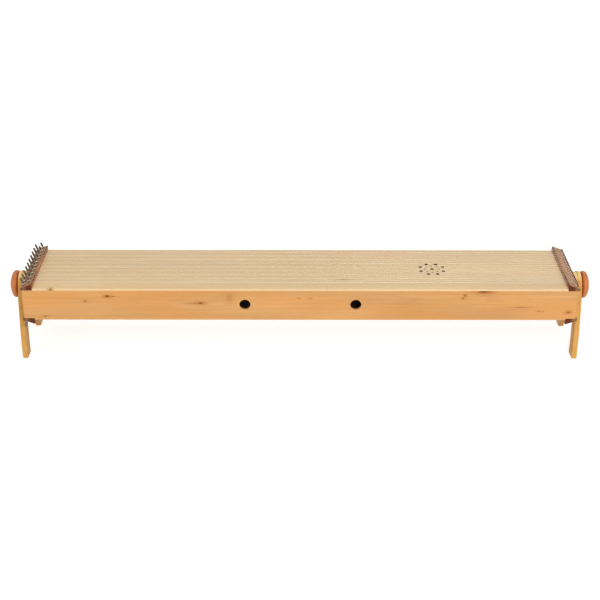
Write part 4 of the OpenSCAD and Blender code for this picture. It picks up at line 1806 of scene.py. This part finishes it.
# Knots: place, with z from the turning axis, spread, bend of the rings, darkness.
FRONT_KNOTS = (
    ((-0.434, -0.103, 0.021), (0.0055, 0.03, 0.0022), 0.004, 0.85),
    ((-0.422, -0.103, 0.0205), (0.0050, 0.03, 0.0009), 0.001, 0.6),
    ((-0.484, -0.103, 0.0085), (0.0035, 0.03, 0.0022), 0.003, 0.45),
    ((-0.577, -0.103, -0.03), (0.0050, 0.03, 0.0020), 0.003, 0.4),
    ((-0.225, -0.103, 0.004), (0.0075, 0.03, 0.0022), 0.005, 0.75),
    ((-0.240, -0.103, 0.0035), (0.0110, 0.03, 0.0010), 0.002, 0.5),
    ((-0.160, -0.103, 0.018), (0.0080, 0.03, 0.0100), 0.004, 0.16),
    ((-0.0025, -0.103, 0.016), (0.0030, 0.03, 0.0014), 0.002, 0.35),
    ((0.0225, -0.103, 0.016), (0.0030, 0.03, 0.0014), 0.002, 0.35),
    ((0.370, -0.103, 0.024), (0.0035, 0.03, 0.0028), 0.003, 0.6),
    ((0.366, -0.103, 0.017), (0.0030, 0.03, 0.0018), 0.002, 0.6),
    ((0.4125, -0.103, 0.0335), (0.0150, 0.03, 0.0026), 0.006, 0.9),
    ((0.4125, -0.103, 0.026), (0.0280, 0.03, 0.0060), 0.002, 0.12),
    ((0.4997, -0.103, -0.006), (0.0150, 0.03, 0.0010), 0.002, 0.45),
    ((0.5396, -0.103, -0.0155), (0.0040, 0.03, 0.0012), 0.002, 0.4),
    ((0.5484, -0.103, -0.0167), (0.0028, 0.03, 0.0012), 0.002, 0.4),
    ((0.6066, -0.103, -0.0185), (0.0050, 0.03, 0.0028), 0.004, 0.6),
)
BACK_KNOTS = (
    ((-0.514, 0.103, -0.016), (0.0060, 0.03, 0.0026), 0.004, 0.7),
    ((-0.331, 0.103, 0.012), (0.0050, 0.03, 0.0018), 0.003, 0.5),
    ((-0.042, 0.103, -0.021), (0.0110, 0.03, 0.0012), 0.003, 0.45),
    ((0.235, 0.103, 0.021), (0.0060, 0.03, 0.0030), 0.005, 0.75),
    ((0.252, 0.103, 0.0205), (0.0120, 0.03, 0.0010), 0.001, 0.5),
    ((0.458, 0.103, -0.01), (0.0040, 0.03, 0.0020), 0.003, 0.5),
)
TOP_BOARD_MARKS = (
    ((-0.560, -0.1035, 0.037), (0.0036, 0.003, 0.003), 0.002, 0.9),
    ((0.101, -0.055, 0.039), (0.0170, 0.0016, 0.004), 0.001, 0.4),
)

GROUPS = {
    "monochord_woods": MonochordWoods,
    "monochord_wire": MonochordWire,
    "monochord_rails": MonochordRails,
    "monochord_clamps": MonochordClamps,
    "monochord_studio": MonochordStudio,
}
OPERATORS = (
    MONOCHORD_OT_studio,
    MONOCHORD_OT_soundboards,
    MONOCHORD_OT_sides,
    MONOCHORD_OT_ends,
    MONOCHORD_OT_inside,
    MONOCHORD_OT_rails,
    MONOCHORD_OT_rail_screws,
    MONOCHORD_OT_hitch_pins,
    MONOCHORD_OT_strings,
    MONOCHORD_OT_tuning_pins,
    MONOCHORD_OT_stands,
    MONOCHORD_OT_knobs,
    MONOCHORD_OT_clamps,
)


class MONOCHORD_PT_sidebar(bpy.types.Panel):
    """Lists the pieces of the monochord and their sizes and colours"""

    bl_idname = "MONOCHORD_PT_sidebar"
    bl_label = "Monochord"
    bl_space_type = "VIEW_3D"
    bl_region_type = "UI"
    bl_category = "Monochord"

    def draw(self, context):
        for operator in OPERATORS:
            self.layout.operator(operator.bl_idname)
        for name, settings in GROUPS.items():
            box = self.layout.box()
            box.label(text=settings.__doc__)
            for key in settings.__annotations__:
                box.prop(getattr(context.scene, name), key)


def register():
    for name, settings in GROUPS.items():
        bpy.utils.register_class(settings)
        setattr(bpy.types.Scene, name, PointerProperty(type=settings))
    for operator in OPERATORS:
        bpy.utils.register_class(operator)
    bpy.utils.register_class(MONOCHORD_PT_sidebar)


def unregister():
    bpy.utils.unregister_class(MONOCHORD_PT_sidebar)
    for operator in reversed(OPERATORS):
        bpy.utils.unregister_class(operator)
    for name, settings in reversed(GROUPS.items()):
        delattr(bpy.types.Scene, name)
        bpy.utils.unregister_class(settings)


def main():
    register()
    for operator in OPERATORS:
        family, step = operator.bl_idname.split(".")
        getattr(getattr(bpy.ops, family), step)()


if __name__ == "__main__":
    main()
